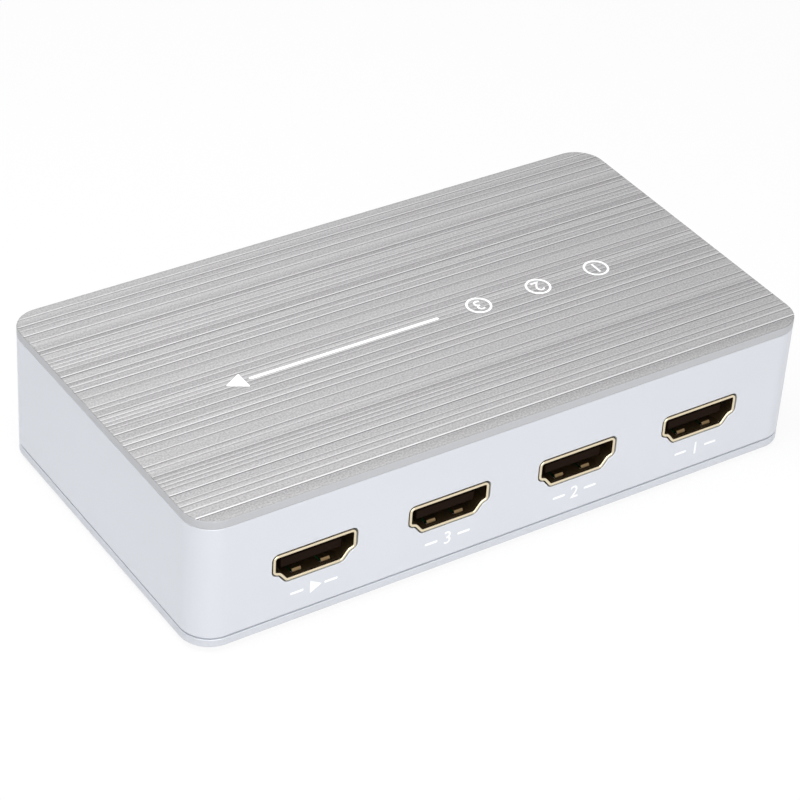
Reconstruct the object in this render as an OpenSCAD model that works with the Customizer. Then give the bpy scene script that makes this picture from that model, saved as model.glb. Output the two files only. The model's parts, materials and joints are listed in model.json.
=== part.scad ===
// Video switch box: a flat metal case with a row of video sockets along one long side,
// and a select button, lamps and an infrared window along the other.
// It stands on z = 0, centred on the origin, with the sockets towards -y and the power jack towards +x.

/* [Case] */
// Length of the case, along the row of sockets
case_l = 116; // [104:1:140]
// Depth of the case, from the socket side to the button side
case_w = 63; // [56:1:80]
// Radius of the upright corners
corner_r = 5.2; // [4.4:0.1:6]
// Height of the housing, from the seam to the top plate
housing_h = 21.1; // [20.5:0.1:28]
// Thickness of the housing's side walls
wall_t = 2; // [1.6:0.1:2.4]
// Thickness of the housing's roof, under the top plate
roof_t = 1.6; // [1.2:0.1:2.2]
// Thickness of the base plate
base_t = 1.5; // [1.2:0.1:2.5]
// Height of the shadow seam between the base plate and the housing
seam_h = 0.3; // [0.2:0.05:0.6]
// Depth of the shadow seam, from the outside in
seam_depth = 0.5; // [0.5:0.1:1.2]

/* [Top plate] */
// Thickness of the top plate
plate_t = 1.6; // [1:0.1:3]
// Width of a groove at the surface
groove_w = 0.5; // [0.3:0.05:0.7]
// Depth of a groove
groove_depth = 0.14; // [0.05:0.01:0.3]
// Thickness of the adhesive sheet under the top plate
film_t = 0.2; // [0.1:0.05:0.4]
// Distance of the adhesive sheet from the edge of the case
film_inset = 4; // [2:0.5:10]

/* [Screws and feet] */
// Radius of the corner bosses inside the housing
boss_r = 3.8; // [3.2:0.1:4.2]
// Radius of the base screws' shanks
base_screw_r = 1.5; // [1:0.1:1.7]
// Length of the base screws, head included
base_screw_l = 9; // [6:0.5:14]
// Radius of the base screws' sunk heads
base_head_r = 2.8; // [2.4:0.1:3]
// Height of the base screws' sunk heads
base_head_h = 1.3; // [0.9:0.1:1.4]
// Radius of the posts that carry the circuit board
post_r = 3; // [2.4:0.1:3.6]
// Distance of the posts from the long sides of the case
post_inset = 13; // [12:0.5:15]
// Radius of the board screws' shanks
board_screw_r = 1.25; // [0.9:0.05:1.5]
// Length of the board screws' shanks
board_screw_l = 6.6; // [4:0.1:10]
// Radius of the board screws' heads
board_head_r = 2.3; // [2:0.1:2.8]
// Height of the board screws' heads
board_head_h = 1.5; // [1:0.1:2]
// Length of the cross recess in a screw head
recess_l = 2.6; // [2:0.1:3]
// Width of the cross recess in a screw head
recess_w = 0.6; // [0.4:0.1:0.8]
// Depth of the cross recess in a screw head
recess_depth = 0.7; // [0.4:0.1:0.8]
// Radius of a rubber foot
foot_r = 4.5; // [3:0.1:6]
// Height of a rubber foot
foot_h = 1; // [0.8:0.1:4]
// Distance of a foot's centre from the sides of the case
foot_inset = 14; // [13.5:0.5:20]
// Bevel round the lower edge of a foot
foot_bevel = 0.3; // [0.1:0.05:0.6]

/* [Circuit board] */
// Thickness of the circuit board
board_t = 1.6; // [1:0.1:2]
// Free height under the circuit board
board_rise = 4.6; // [3.4:0.1:6]
// Gap between the board's edge and the housing's walls
board_margin = 0.8; // [0.4:0.1:1.2]

/* [Video sockets] */
// Distance from an end of the case to the axis of the socket next to it
socket_inset = 20.8; // [18:0.1:23]
// Height of the sockets' centres above the board
socket_rise = 3.1; // [3.1:0.1:4.5]
// Width of the mouth
mouth_w = 14; // [13:0.1:15]
// Height of the mouth
mouth_h = 4.55; // [4.2:0.05:5]
// Height of the mouth's straight sides
side_h = 2.7; // [2.3:0.05:2.9]
// Width of the ear at the foot of each straight side
ear_w = 1; // [0.8:0.05:1.2]
// Fall of the ear
ear_drop = 0.35; // [0.2:0.05:0.5]
// Width of the mouth's floor
floor_w = 9.7; // [9:0.1:10.4]
// Radius of the mouth's outer corners
mouth_r = 0.4; // [0.2:0.05:0.5]
// Radius of the hollow between an ear and the floor
waist_r = 1.3; // [1:0.1:1.5]
// Thickness of the socket's shell
shell_t = 0.5; // [0.3:0.05:0.6]
// Length of the socket's shell
shell_l = 11; // [10:0.1:12]
// Width of the shell's legs
leg_w = 1.6; // [1:0.1:2]
// How far the shell's legs reach below the board
leg_tail = 0.8; // [0.4:0.1:1.2]
// Distance between the two spring fingers in a shell's wall
finger_gap = 5.2; // [4:0.1:6]
// Width of a spring finger
finger_w = 1.6; // [1:0.1:2]
// Length of a spring finger
finger_l = 5.5; // [3:0.1:5.6]
// Thickness of a spring finger
finger_t = 0.25; // [0.15:0.05:0.3]
// How far a spring finger bulges into the mouth
finger_bulge = 0.45; // [0.2:0.05:0.6]
// Width of the tongue that carries the contacts
tongue_w = 11; // [10.6:0.1:12]
// Thickness of the tongue
tongue_t = 1.7; // [1.2:0.1:1.9]
// Length of the tongue
tongue_l = 5.6; // [4.8:0.1:6]
// Distance of the tongue's tip behind the mouth
tongue_setback = 1.2; // [0.8:0.1:1.6]
// Thickness of the tongue block's back wall, behind the shell
block_t = 1.5; // [1:0.1:2.5]
// Distance from one contact to the next
contact_pitch = 1; // [0.8:0.05:1.05]
// Width of a contact
contact_w = 0.45; // [0.3:0.05:0.6]
// Thickness of a contact
contact_t = 0.12; // [0.08:0.02:0.2]
// Length of a contact's solder tail
tail_l = 1.4; // [0.8:0.1:1.8]

/* [Select button] */
// Height of the button's, lamps' and window's axes above the board
panel_rise = 5.4; // [5.2:0.1:6.4]
// Distance from the left end of the case to the button's axis
button_inset = 20; // [16:0.5:28]
// Radius of the button
button_r = 4; // [3:0.1:4.6]
// How far the button stands out of the case
button_face_h = 0.8; // [0.4:0.1:1]
// Bevel round the face of the button
button_bevel = 0.3; // [0.1:0.05:0.4]
// Width of the flange that holds the button in
flange_w = 1; // [0.6:0.1:1.4]
// Thickness of the flange that holds the button in
flange_t = 0.8; // [0.5:0.1:1.2]
// Radius of the button's stem
stem_r = 1.5; // [1:0.1:2]
// Length of the button's stem
stem_l = 1.5; // [0.8:0.1:2]
// Travel of the button
button_travel = 0.3; // [0.2:0.05:0.35]
// Width and height of the push switch
switch_w = 6.6; // [6:0.1:7.4]
// Depth of the push switch's base
switch_t = 3; // [2.4:0.1:3.6]
// Thickness of the push switch's metal cover
cover_t = 0.3; // [0.2:0.05:0.4]
// Radius of the push switch's plunger
plunger_r = 1.7; // [1.4:0.1:1.9]
// How far the plunger stands out of the cover
plunger_l = 2; // [1.5:0.1:2.5]
// Radius of the plunger's collar
collar_r = 2.2; // [2.1:0.1:2.6]
// Thickness of the plunger's collar
collar_t = 0.6; // [0.4:0.1:0.8]
// Radius of the snap dome under the plunger
dome_r = 2; // [1.6:0.1:2.2]
// Thickness of the snap dome's sheet
dome_t = 0.1; // [0.06:0.02:0.16]
// Free height left under the snap dome when the button is pressed
dome_rest = 0.1; // [0.05:0.05:0.2]

/* [Lamps and infrared] */
// Distance from one input lamp to the next
lamp_pitch = 12; // [6:0.5:12]
// Distance from the infrared window to the power lamp
power_lamp_gap = 13; // [9:0.5:16]
// Radius of a lamp
lamp_r = 1.5; // [1:0.1:2]
// Length of a lamp, flange and dome included
lamp_l = 5.3; // [5:0.1:6]
// How far a lamp stands out of the case
lamp_tip_h = 0.3; // [0:0.1:0.8]
// Width of a lamp's flange
lamp_rim_w = 0.4; // [0.2:0.1:0.6]
// Thickness of a lamp's flange
lamp_rim_t = 1; // [0.6:0.1:1.2]
// Distance between a lamp's two leads
lead_gap = 1.8; // [1.2:0.1:2]
// Width of a lead
lead_w = 0.5; // [0.3:0.05:0.6]
// How far a lamp's leads reach back before they turn down
lead_reach = 1.2; // [0.8:0.1:1.4]
// Distance from the right end of the case to the infrared window's axis
window_inset = 19; // [16:0.5:22]
// Radius of the infrared window
window_r = 3; // [2:0.1:3.6]
// Width of the window's inner rim
window_rim_w = 0.8; // [0.4:0.1:1.2]
// Thickness of the window's inner rim
window_rim_t = 0.8; // [0.4:0.1:1]
// Width of the infrared receiver
receiver_w = 5.6; // [5:0.1:6.4]
// Depth of the infrared receiver
receiver_t = 2.6; // [2:0.1:3]
// Height of the infrared receiver
receiver_h = 5; // [4.4:0.1:6]
// Radius of the receiver's lens
lens_r = 1.8; // [1.2:0.1:2.1]

/* [Power jack] */
// Distance from the button side of the case to the jack's axis
jack_inset = 23.5; // [20.5:0.5:29.5]
// Height of the jack's axis above the board
jack_rise = 6.3; // [5.4:0.1:7]
// Width of the jack's body
jack_w = 9; // [8.6:0.1:10]
// Height of the jack's body
jack_h = 10.9; // [10.4:0.1:11.5]
// Length of the jack's body
jack_l = 12.5; // [11.5:0.1:14]
// Radius of the jack's nose in the wall
nose_r = 4.2; // [3.8:0.1:4.3]
// Radius of the jack's bore
jack_bore_r = 3.15; // [2.9:0.05:3.4]
// Depth of the jack's bore from the outside of the case
jack_bore_l = 10.5; // [9.5:0.1:11]
// Radius of the centre pin
pin_r = 1.05; // [0.9:0.05:1.25]
// Radius of the pin's shank in the jack's back wall
pin_root_r = 0.8; // [0.6:0.05:0.85]
// Distance of the pin's tip behind the outside of the case
pin_setback = 1; // [0.5:0.1:2]
// Thickness of the pin's head behind the jack
pin_head_t = 0.6; // [0.4:0.1:1]
// Width of the sleeve contact
leaf_w = 2.4; // [1.6:0.1:3]
// Thickness of the sleeve contact
leaf_t = 0.3; // [0.2:0.05:0.4]
// How far the sleeve contact reaches into the bore
leaf_bulge = 0.5; // [0.3:0.05:0.7]
// Thickness of the jack's side wall outside the sleeve contact
leaf_skin = 0.6; // [0.4:0.05:0.7]

/* [Board parts] */
// Width of the switching chip
chip_w = 14; // [10:0.5:16]
// Thickness of the switching chip
chip_t = 1.4; // [1:0.1:2]
// Number of pins on each side of the switching chip
chip_pins = 12; // [6:1:12]
// Distance between the switching chip's pins
chip_pitch = 0.8; // [0.6:0.05:0.8]
// Height of the heat sink on the switching chip
sink_h = 6; // [4:0.5:7]
// Thickness of the heat sink's base
sink_base_t = 1.4; // [1:0.1:2]
// Number of fins on the heat sink
sink_fins = 6; // [4:1:6]
// Thickness of a fin
fin_t = 0.9; // [0.6:0.1:1.1]
// Length of the controller chip
controller_l = 12.8; // [10:0.1:14]
// Width of the controller chip
controller_w = 7.5; // [5:0.1:9]
// Thickness of the controller chip
controller_t = 2.3; // [1.5:0.1:2.6]
// Number of pins on each side of the controller chip
controller_pins = 9; // [4:1:9]
// Length of the memory chip
memory_l = 4.9; // [4.6:0.1:6]
// Width of the memory chip
memory_w = 3.9; // [3:0.1:5]
// Thickness of the memory chip
memory_t = 1.5; // [1:0.1:2]
// Number of pins on each side of the memory chip
memory_pins = 4; // [2:1:4]
// Distance between the small chips' pins
small_pitch = 1.1; // [0.9:0.05:1.27]
// Width of a chip pin
chip_pin_w = 0.4; // [0.2:0.05:0.45]
// Thickness of a chip pin
chip_pin_t = 0.2; // [0.1:0.05:0.3]
// How far a chip pin stands out
chip_pin_l = 1; // [0.6:0.1:1.4]
// Length of the voltage regulator
regulator_l = 6.5; // [5:0.1:8]
// Width of the voltage regulator
regulator_w = 3.5; // [3:0.1:4.5]
// Thickness of the voltage regulator
regulator_t = 1.6; // [1.2:0.1:2]
// Width of the power inductor
inductor_w = 7; // [5:0.1:8]
// Height of the power inductor
inductor_h = 3.5; // [2:0.1:5]
// Radius of the power inductor's corners
inductor_r = 1.5; // [0.5:0.1:2]
// Length of the crystal's can
crystal_l = 11; // [8:0.1:12]
// Width of the crystal's can
crystal_w = 4.6; // [3.5:0.1:5]
// Height of the crystal's can
crystal_h = 3.5; // [2.5:0.1:5]
// Radius of a capacitor's can
can_r = 3.15; // [2:0.05:3.5]
// Height of a capacitor's can
can_h = 5; // [4:0.1:8]
// Thickness of a capacitor's plastic foot
can_base_t = 0.8; // [0.5:0.1:1.2]
// Width of a capacitor's plastic foot
can_base_w = 6.8; // [6.4:0.1:7.4]
// Length of a chip resistor or chip capacitor
passive_l = 1.6; // [1:0.1:1.8]
// Width of a chip resistor or chip capacitor
passive_w = 0.8; // [0.5:0.1:1.2]
// Thickness of a chip resistor or chip capacitor
passive_t = 0.6; // [0.3:0.05:0.8]
// Length of a surge protection array
array_l = 2.5; // [1.8:0.1:3]
// Thickness of a surge protection array
array_t = 0.6; // [0.4:0.05:0.8]

/* [Clearances] */
// Gap round a socket's shell in the wall
panel_gap = 0.25; // [0.15:0.05:0.3]
// Gap round screws, lamps, window and jack in their holes
fit_gap = 0.05; // [0.02:0.01:0.1]
// Gap round the sliding button and plunger in their holes
slide_gap = 0.08; // [0.04:0.01:0.1]
// Gap round the board's cut-outs
slot_gap = 0.3; // [0.2:0.05:0.5]
// Gap round a spring finger in its window
finger_slot = 0.25; // [0.2:0.05:0.5]
// Free depth of a blind screw hole past the screw's tip
blind_gap = 1; // [0.5:0.1:2]
// Gap between parts that stand side by side on the board
part_gap = 2; // [1:0.1:2.4]

/* [Hidden] */
$fn = 64;

// Spacing of the grooves across the top plate, repeated over its depth
groove_steps = [2.7, 2.1, 1.5, 1.2, 1.9, 1.6, 0.9, 0.9, 0.9, 1.0, 1.6, 1.1];
// Distance of the first groove of a repeat from the middle of the plate
groove_start = 2.8;
// Places of the parts that stand free on the board, as shares of its length and depth from its middle
controller_share = [-0.25, 0.07];
memory_share = [-0.38, -0.07];
crystal_share = [-0.12, 0.21];
// Number of chip parts in a row of passives, and the distance from one to the next
passive_count = 4;
passive_pitch = 1.5;
// Distance of the surge arrays from the solder tails in front of them
array_gap = 1.5;
// Lengths of a socket's two rows of contacts, in contacts
contact_rows = [10, 9];
// Gap between a tongue's tip and its contacts, and between a shell's ends and its legs
contact_setback = 0.4;
leg_setback = 1.4;
// Height of the bulge of a spring finger, as a share of its length from its root
finger_crest = 0.93;
// Straight steps in one rounded corner of an outline
arc_steps = 5;
// Overshoot of cuts through open faces
over = 1;

base_z = foot_h;
seat_z = base_z + base_t + seam_h;
housing_z = seat_z;
roof_z = housing_z + housing_h - roof_t;
plate_z = housing_z + housing_h;
board_z = seat_z + board_rise;
board_top = board_z + board_t;
socket_z = board_top + socket_rise;
panel_z = board_top + panel_rise;
jack_z = board_top + jack_rise;

front_y = -case_w / 2;
back_y = case_w / 2;
back_in_y = back_y - wall_t;
end_x = case_l / 2;
end_in_x = end_x - wall_t;
boss_x = case_l / 2 - corner_r;
boss_y = case_w / 2 - corner_r;
socket_pitch = (case_l - 2 * socket_inset) / 3;
post_x = socket_pitch;
post_y = case_w / 2 - post_inset;
board_l = case_l - 2 * (wall_t + board_margin);
board_w = case_w - 2 * (wall_t + board_margin);
button_x = button_inset - end_x;
window_x = end_x - window_inset;
lamp_places = [window_x - power_lamp_gap, lamp_pitch, 0, -lamp_pitch];

block_y = front_y + tongue_setback + tongue_l;
tail_y = front_y + shell_l + block_t;
leg_places = [front_y + wall_t + board_margin + leg_setback, front_y + shell_l - leg_setback - leg_w];
array_y = tail_y + tail_l + array_gap;

dome_h = button_travel + dome_t + dome_rest;
stem_back_y = back_in_y - flange_t - stem_l;
cover_y = stem_back_y - plunger_l - cover_t;
switch_y = cover_y - switch_t;
lamp_tip_y = back_y + lamp_tip_h;
lamp_back_y = lamp_tip_y - lamp_l;
lens_tip_y = back_in_y - window_rim_t - slot_gap;
receiver_y = lens_tip_y - lens_r - receiver_t;
jack_y = back_y - jack_inset;
jack_x = end_in_x - jack_l;
jack_floor_x = end_x - jack_bore_l;
leaf_y = jack_y - jack_w / 2 + leaf_skin;
leaf_tip_x = end_in_x - 2 * wall_t;

// The switching chip and the capacitors stand behind the surge arrays, the power parts before the jack
parts_y = array_y + array_l / 4 + part_gap;
capacitor_x = jack_x - leaf_w - part_gap - can_base_w / 2;
capacitor_y = parts_y + can_base_w / 2;
power_x = capacitor_x - can_base_w / 2 - part_gap;
chip_edge = chip_w / 2 + chip_pin_l;
passive_row_l = (passive_count - 1) * passive_pitch;
chip_at = [0, parts_y + chip_edge];
controller_at = on_board(controller_share);
memory_at = on_board(memory_share);
crystal_at = on_board(crystal_share);
regulator_at = [power_x - regulator_l / 2, capacitor_y];
inductor_at = [power_x - inductor_w / 2, jack_y];
capacitors_at = [for (k = [0, 1]) [capacitor_x, capacitor_y + k * (can_base_w + part_gap)]];
passives_at = [
    [chip_at.x - chip_w / 2, chip_at.y + chip_edge + part_gap],
    [chip_at.x + chip_w / 2 - passive_row_l, chip_at.y + chip_edge + part_gap],
    [chip_at.x + chip_edge + part_gap, chip_at.y],
    [controller_at.x - passive_row_l / 2, controller_at.y - controller_w / 2 - chip_pin_l - part_gap]
];

corner_signs = [for (sx = [-1, 1], sy = [-1, 1]) [sx, sy]];
boss_places = [for (s = corner_signs) [s.x * boss_x, s.y * boss_y]];
post_places = [for (s = corner_signs) [s.x * post_x, s.y * post_y]];
foot_places = [for (s = corner_signs) [s.x * (case_l / 2 - foot_inset), s.y * (case_w / 2 - foot_inset)]];

// Point of the board at a share of its length and depth from its middle
function on_board(share) = [share.x * board_l, share.y * board_w];

// Total of the first n values of a list
function total(list, n) = n == 0 ? 0 : list[n - 1] + total(list, n - 1);

groove_period = total(groove_steps, len(groove_steps));
groove_repeats = ceil(case_w / groove_period);
groove_places = [
    for (k = [-groove_repeats : groove_repeats], n = [0 : len(groove_steps) - 1])
        let (y = groove_start + k * groove_period + total(groove_steps, n))
            if (abs(y) < case_w / 2 - groove_w) y
];

function unit(v) = v / norm(v);

// Outward direction of the edge from p to q of an anticlockwise outline
function outward(p, q) = unit([q.y - p.y, p.x - q.x]);

// Corner b between a and c, moved out by d with both of its edges
function moved_corner(a, b, c, d) =
    let (n = outward(a, b), m = outward(b, c))
        b + d * (n + m) / (1 + n * m);

// Points of an arc of radius r that rounds the corner b between a and c
function corner_arc(a, b, c, r) =
    let (
        u = unit(a - b),
        w = unit(c - b),
        half = acos(u * w) / 2,
        centre = b + unit(u + w) * r / sin(half),
        start = b + u * r / tan(half) - centre,
        from = atan2(start.y, start.x),
        sweep = (180 - 2 * half) * sign(cross(b - a, c - b))
    )
    [for (k = [0 : arc_steps]) let (t = from + sweep * k / arc_steps) centre + r * [cos(t), sin(t)]];

// Corners of a socket's mouth, anticlockwise from the left of its floor, as x and z from its centre
mouth_corners =
    let (half_w = mouth_w / 2, top = mouth_h / 2, ear_z = mouth_h / 2 - side_h)
    [
        [-floor_w / 2, -top],
        [floor_w / 2, -top],
        [half_w - ear_w, ear_z - ear_drop],
        [half_w, ear_z],
        [half_w, top],
        [-half_w, top],
        [-half_w, ear_z],
        [ear_w - half_w, ear_z - ear_drop]
    ];

// Outline of a socket's mouth, grown by d on every side
function mouth_outline(d) =
    let (
        p = mouth_corners,
        n = len(p),
        q = [for (i = [0 : n - 1]) moved_corner(p[(i + n - 1) % n], p[i], p[(i + 1) % n], d)]
    )
    [
        for (i = [0 : n - 1])
            let (a = q[(i + n - 1) % n], b = q[i], c = q[(i + 1) % n])
                each corner_arc(a, b, c, cross(b - a, c - b) > 0 ? mouth_r + d : waist_r - d)
    ];

// Place of socket i along the case, from the output at 0 to the first input at 3
function socket_x(i) = (i - 1.5) * socket_pitch;

// A flat outline in x and y, raised from z by h
module raised(z, h) {
    translate([0, 0, z])
        linear_extrude(h)
            children();
}

// A flat outline in x and z, drawn out from y by l towards the button side
module drawn_back(y, l) {
    translate([0, y + l, 0])
        rotate([90, 0, 0])
            linear_extrude(l)
                children();
}

// A flat outline in y and z, drawn out from x by l along the case
module drawn_along(x, l) {
    translate([x, 0, 0])
        rotate([90, 0, 90])
            linear_extrude(l)
                children();
}

// A shape about the z axis, turned to point towards the button side from x, y and z
module pointing_back(x, y, z) {
    translate([x, y, z])
        rotate([-90, 0, 0])
            children();
}

// A shape about the z axis, turned to point along the case from x, y and z
module pointing_along(x, y, z) {
    translate([x, y, z])
        rotate([0, 90, 0])
            children();
}

// A block that stands on z, centred on a place
module block(place, size, z) {
    translate([place.x - size.x / 2, place.y - size.y / 2, z])
        cube(size);
}

module at_each(places) {
    for (p = places)
        translate([p.x, p.y, 0])
            children();
}

module rounded_rect(l, w, r) {
    square([l - 2 * r, w], center = true);
    square([l, w - 2 * r], center = true);
    for (s = corner_signs)
        translate([s.x * (l / 2 - r), s.y * (w / 2 - r)])
            circle(r);
}

// Outline of the case, drawn in by d on every side
module case_outline(d) {
    rounded_rect(case_l - 2 * d, case_w - 2 * d, corner_r - d);
}

// Cross recess cut upwards into a screw head whose face lies at z
module cross_recess(z) {
    for (turn = [0, 90])
        rotate([0, 0, turn])
            block([0, 0], [recess_l, recess_w, recess_depth + over], z - over);
}

// Case

module housing_shell() {
    difference() {
        raised(housing_z, housing_h)
            case_outline(0);
        raised(housing_z - over, roof_z - housing_z + over)
            case_outline(wall_t);
    }
    intersection() {
        raised(housing_z, housing_h)
            case_outline(0);
        at_each(boss_places)
            translate([0, 0, housing_z])
                cylinder(r = boss_r, h = housing_h);
    }
    at_each(post_places)
        translate([0, 0, board_top])
            cylinder(r = post_r, h = roof_z + roof_t / 2 - board_top);
}

module housing_screw_holes() {
    at_each(boss_places)
        translate([0, 0, housing_z - over])
            cylinder(r = base_screw_r + fit_gap, h = over + base_z + base_screw_l + blind_gap - housing_z);
    at_each(post_places)
        translate([0, 0, board_top - over])
            cylinder(r = board_screw_r + fit_gap, h = over + board_screw_l - board_t + blind_gap);
}

// A round hole of radius r through the wall on the button side
module back_hole(x, r) {
    pointing_back(x, back_in_y - over, panel_z)
        cylinder(r = r, h = wall_t + 2 * over);
}

module housing_openings() {
    for (i = [0 : 3])
        translate([socket_x(i), 0, socket_z])
            drawn_back(front_y - over, wall_t + 2 * over)
                polygon(mouth_outline(shell_t + panel_gap));
    back_hole(button_x, button_r + slide_gap);
    back_hole(window_x, window_r + fit_gap);
    for (x = lamp_places)
        back_hole(x, lamp_r + fit_gap);
    pointing_along(end_in_x - over, jack_y, jack_z)
        cylinder(r = nose_r + fit_gap, h = wall_t + 2 * over);
}

module housing() {
    color("gainsboro")
        difference() {
            housing_shell();
            housing_screw_holes();
            housing_openings();
            raised(plate_z - film_t, film_t + over)
                case_outline(film_inset);
        }
}

// Section of the top plate across its grooves, as y and height above its underside
module grooved_section() {
    polygon([
        [back_y, plate_t],
        [back_y, 0],
        [front_y, 0],
        [front_y, plate_t],
        for (y = groove_places) each [
            [y - groove_w / 2, plate_t],
            [y, plate_t - groove_depth],
            [y + groove_w / 2, plate_t]
        ]
    ]);
}

module top_plate() {
    color("silver")
        intersection() {
            raised(plate_z, plate_t)
                case_outline(0);
            translate([0, 0, plate_z])
                drawn_along(-case_l / 2 - over, case_l + 2 * over)
                    grooved_section();
        }
}

module top_adhesive() {
    color("ivory")
        raised(plate_z - film_t, film_t)
            case_outline(film_inset + fit_gap);
}

module base_plate() {
    color("lightgray")
        difference() {
            union() {
                raised(base_z, base_t)
                    case_outline(0);
                raised(base_z, base_t + seam_h)
                    case_outline(seam_depth);
            }
            at_each(boss_places)
                translate([0, 0, base_z]) {
                    translate([0, 0, -over])
                        cylinder(r = base_screw_r + fit_gap, h = base_t + seam_h + 2 * over);
                    cylinder(r1 = base_head_r + fit_gap, r2 = base_screw_r + fit_gap, h = base_head_h);
                }
        }
}

module base_screws() {
    color("dimgray")
        at_each(boss_places)
            difference() {
                translate([0, 0, base_z]) {
                    cylinder(r1 = base_head_r, r2 = base_screw_r, h = base_head_h);
                    cylinder(r = base_screw_r, h = base_screw_l);
                }
                cross_recess(base_z);
            }
}

module rubber_feet() {
    color("black")
        at_each(foot_places)
            rotate_extrude()
                polygon([
                    [0, 0],
                    [foot_r - foot_bevel, 0],
                    [foot_r, foot_bevel],
                    [foot_r, foot_h],
                    [0, foot_h]
                ]);
}

// Circuit board

module board_cut_outs() {
    notch_w = 2 * (boss_r + slot_gap);
    for (p = boss_places)
        block(p, [notch_w, notch_w, board_t + 2 * over], board_z - over);
    at_each(post_places)
        translate([0, 0, board_z - over])
            cylinder(r = board_screw_r + slot_gap, h = board_t + 2 * over);
    for (i = [0 : 3], side = [-1, 1], y = leg_places)
        block(
            [socket_x(i) + side * (mouth_w + shell_t) / 2, y + leg_w / 2],
            [shell_t + 2 * slot_gap, leg_w + 2 * slot_gap, board_t + 2 * over],
            board_z - over
        );
}

module circuit_board() {
    color("darkgreen")
        difference() {
            block([0, 0], [board_l, board_w, board_t], board_z);
            board_cut_outs();
        }
}

module board_screws() {
    color("dimgray")
        at_each(post_places)
            difference() {
                translate([0, 0, board_z]) {
                    translate([0, 0, -board_head_h])
                        cylinder(r = board_head_r, h = board_head_h);
                    cylinder(r = board_screw_r, h = board_screw_l);
                }
                cross_recess(board_z - board_head_h);
            }
}

// Video sockets

// Windows for the spring fingers in the floor and the roof of a shell
module finger_windows() {
    for (side = [-1, 1], up = [-1, 1])
        translate([
            side * finger_gap / 2 - finger_w / 2 - finger_slot,
            block_y - finger_l - 2 * finger_slot,
            up > 0 ? mouth_h / 2 - shell_t : -mouth_h / 2 - 2 * shell_t
        ])
            cube([finger_w + 2 * finger_slot, finger_l + finger_slot, 3 * shell_t]);
}

// Spring fingers, rooted at the back of their windows and bulging into the mouth
module fingers() {
    root_y = block_y - finger_slot / 2;
    crest_y = root_y - finger_slot - finger_l * finger_crest;
    tip_y = block_y - finger_l - finger_slot;
    wall = mouth_h / 2;
    for (side = [-1, 1], up = [-1, 1])
        mirror([0, 0, up > 0 ? 0 : 1])
            drawn_along(side * finger_gap / 2 - finger_w / 2, finger_w)
                polygon([
                    [root_y, wall],
                    [crest_y, wall - finger_bulge],
                    [tip_y, wall],
                    [tip_y, wall + finger_t],
                    [crest_y, wall - finger_bulge + finger_t],
                    [root_y, wall + finger_t]
                ]);
}

module shell_legs() {
    for (side = [-1, 1], y = leg_places)
        block(
            [side * (mouth_w + shell_t) / 2, y + leg_w / 2],
            [shell_t, leg_w, socket_z + mouth_h / 2 - side_h / 2 - board_z + leg_tail],
            board_z - leg_tail - socket_z
        );
}

module socket_shell(i) {
    color("goldenrod")
        translate([socket_x(i), 0, socket_z]) {
            difference() {
                drawn_back(front_y, shell_l)
                    polygon(mouth_outline(shell_t));
                drawn_back(front_y - over, shell_l + 2 * over)
                    polygon(mouth_outline(0));
                finger_windows();
            }
            fingers();
            shell_legs();
        }
}

module socket_tongue(i) {
    block_h = socket_rise + mouth_h / 2 + shell_t;
    color("black")
        translate([socket_x(i), 0, socket_z]) {
            drawn_back(block_y, front_y + shell_l - block_y)
                polygon(mouth_outline(-fit_gap));
            translate([-tongue_w / 2, front_y + tongue_setback, -tongue_t / 2])
                cube([tongue_w, tongue_l, tongue_t]);
            translate([-mouth_w / 2, front_y + shell_l, -socket_rise])
                cube([mouth_w, block_t, block_h]);
        }
}

module socket_contacts(i) {
    strip_l = tongue_l - contact_setback;
    tails = contact_rows[0] + contact_rows[1];
    color("gold")
        translate([socket_x(i), 0, socket_z]) {
            for (row = [0, 1], k = [0 : contact_rows[row] - 1])
                translate([
                    (k - (contact_rows[row] - 1) / 2) * contact_pitch - contact_w / 2,
                    block_y - strip_l,
                    row == 0 ? tongue_t / 2 : -tongue_t / 2 - contact_t
                ])
                    cube([contact_w, strip_l, contact_t]);
            for (k = [0 : tails - 1])
                translate([(k - (tails - 1) / 2) * contact_pitch / 2 - contact_w / 4, tail_y, -socket_rise])
                    cube([contact_w / 2, tail_l, contact_t]);
        }
}

// Select button and its push switch

module select_button() {
    color("silver")
        pointing_back(button_x, stem_back_y, panel_z) {
            cylinder(r = stem_r, h = stem_l + flange_t);
            translate([0, 0, stem_l])
                cylinder(r = button_r + flange_w, h = flange_t);
            translate([0, 0, stem_l])
                cylinder(r = button_r, h = flange_t + wall_t + button_face_h - button_bevel);
            translate([0, 0, stem_l + flange_t + wall_t + button_face_h - button_bevel])
                cylinder(r1 = button_r, r2 = button_r - button_bevel, h = button_bevel);
        }
}

module switch_plunger() {
    color("black")
        pointing_back(button_x, cover_y - collar_t, panel_z) {
            cylinder(r = collar_r, h = collar_t);
            cylinder(r = plunger_r, h = collar_t + cover_t + plunger_l);
        }
}

// Section of the snap dome: a thin sheet bent over an arc, from its top out to its rim
module dome_section() {
    rise = dome_h - dome_t;
    bend_r = (dome_r * dome_r + rise * rise) / (2 * rise);
    spread = asin(dome_r / bend_r);
    arc = [for (k = [0 : arc_steps]) let (a = spread * k / arc_steps) bend_r * [sin(a), cos(a) - 1]];
    polygon([
        for (p = arc) p + [0, dome_h],
        for (k = [arc_steps : -1 : 0]) arc[k] + [0, dome_h - dome_t]
    ]);
}

module switch_snap_dome() {
    color("silver")
        pointing_back(button_x, cover_y - collar_t - dome_h, panel_z)
            rotate_extrude()
                dome_section();
}

module switch_base() {
    color("dimgray")
        difference() {
            block(
                [button_x, switch_y + switch_t / 2],
                [switch_w, switch_t, panel_rise + switch_w / 2],
                board_top
            );
            pointing_back(button_x, cover_y - collar_t - dome_h, panel_z)
                cylinder(r = collar_r + slide_gap, h = collar_t + dome_h + over);
        }
}

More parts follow.
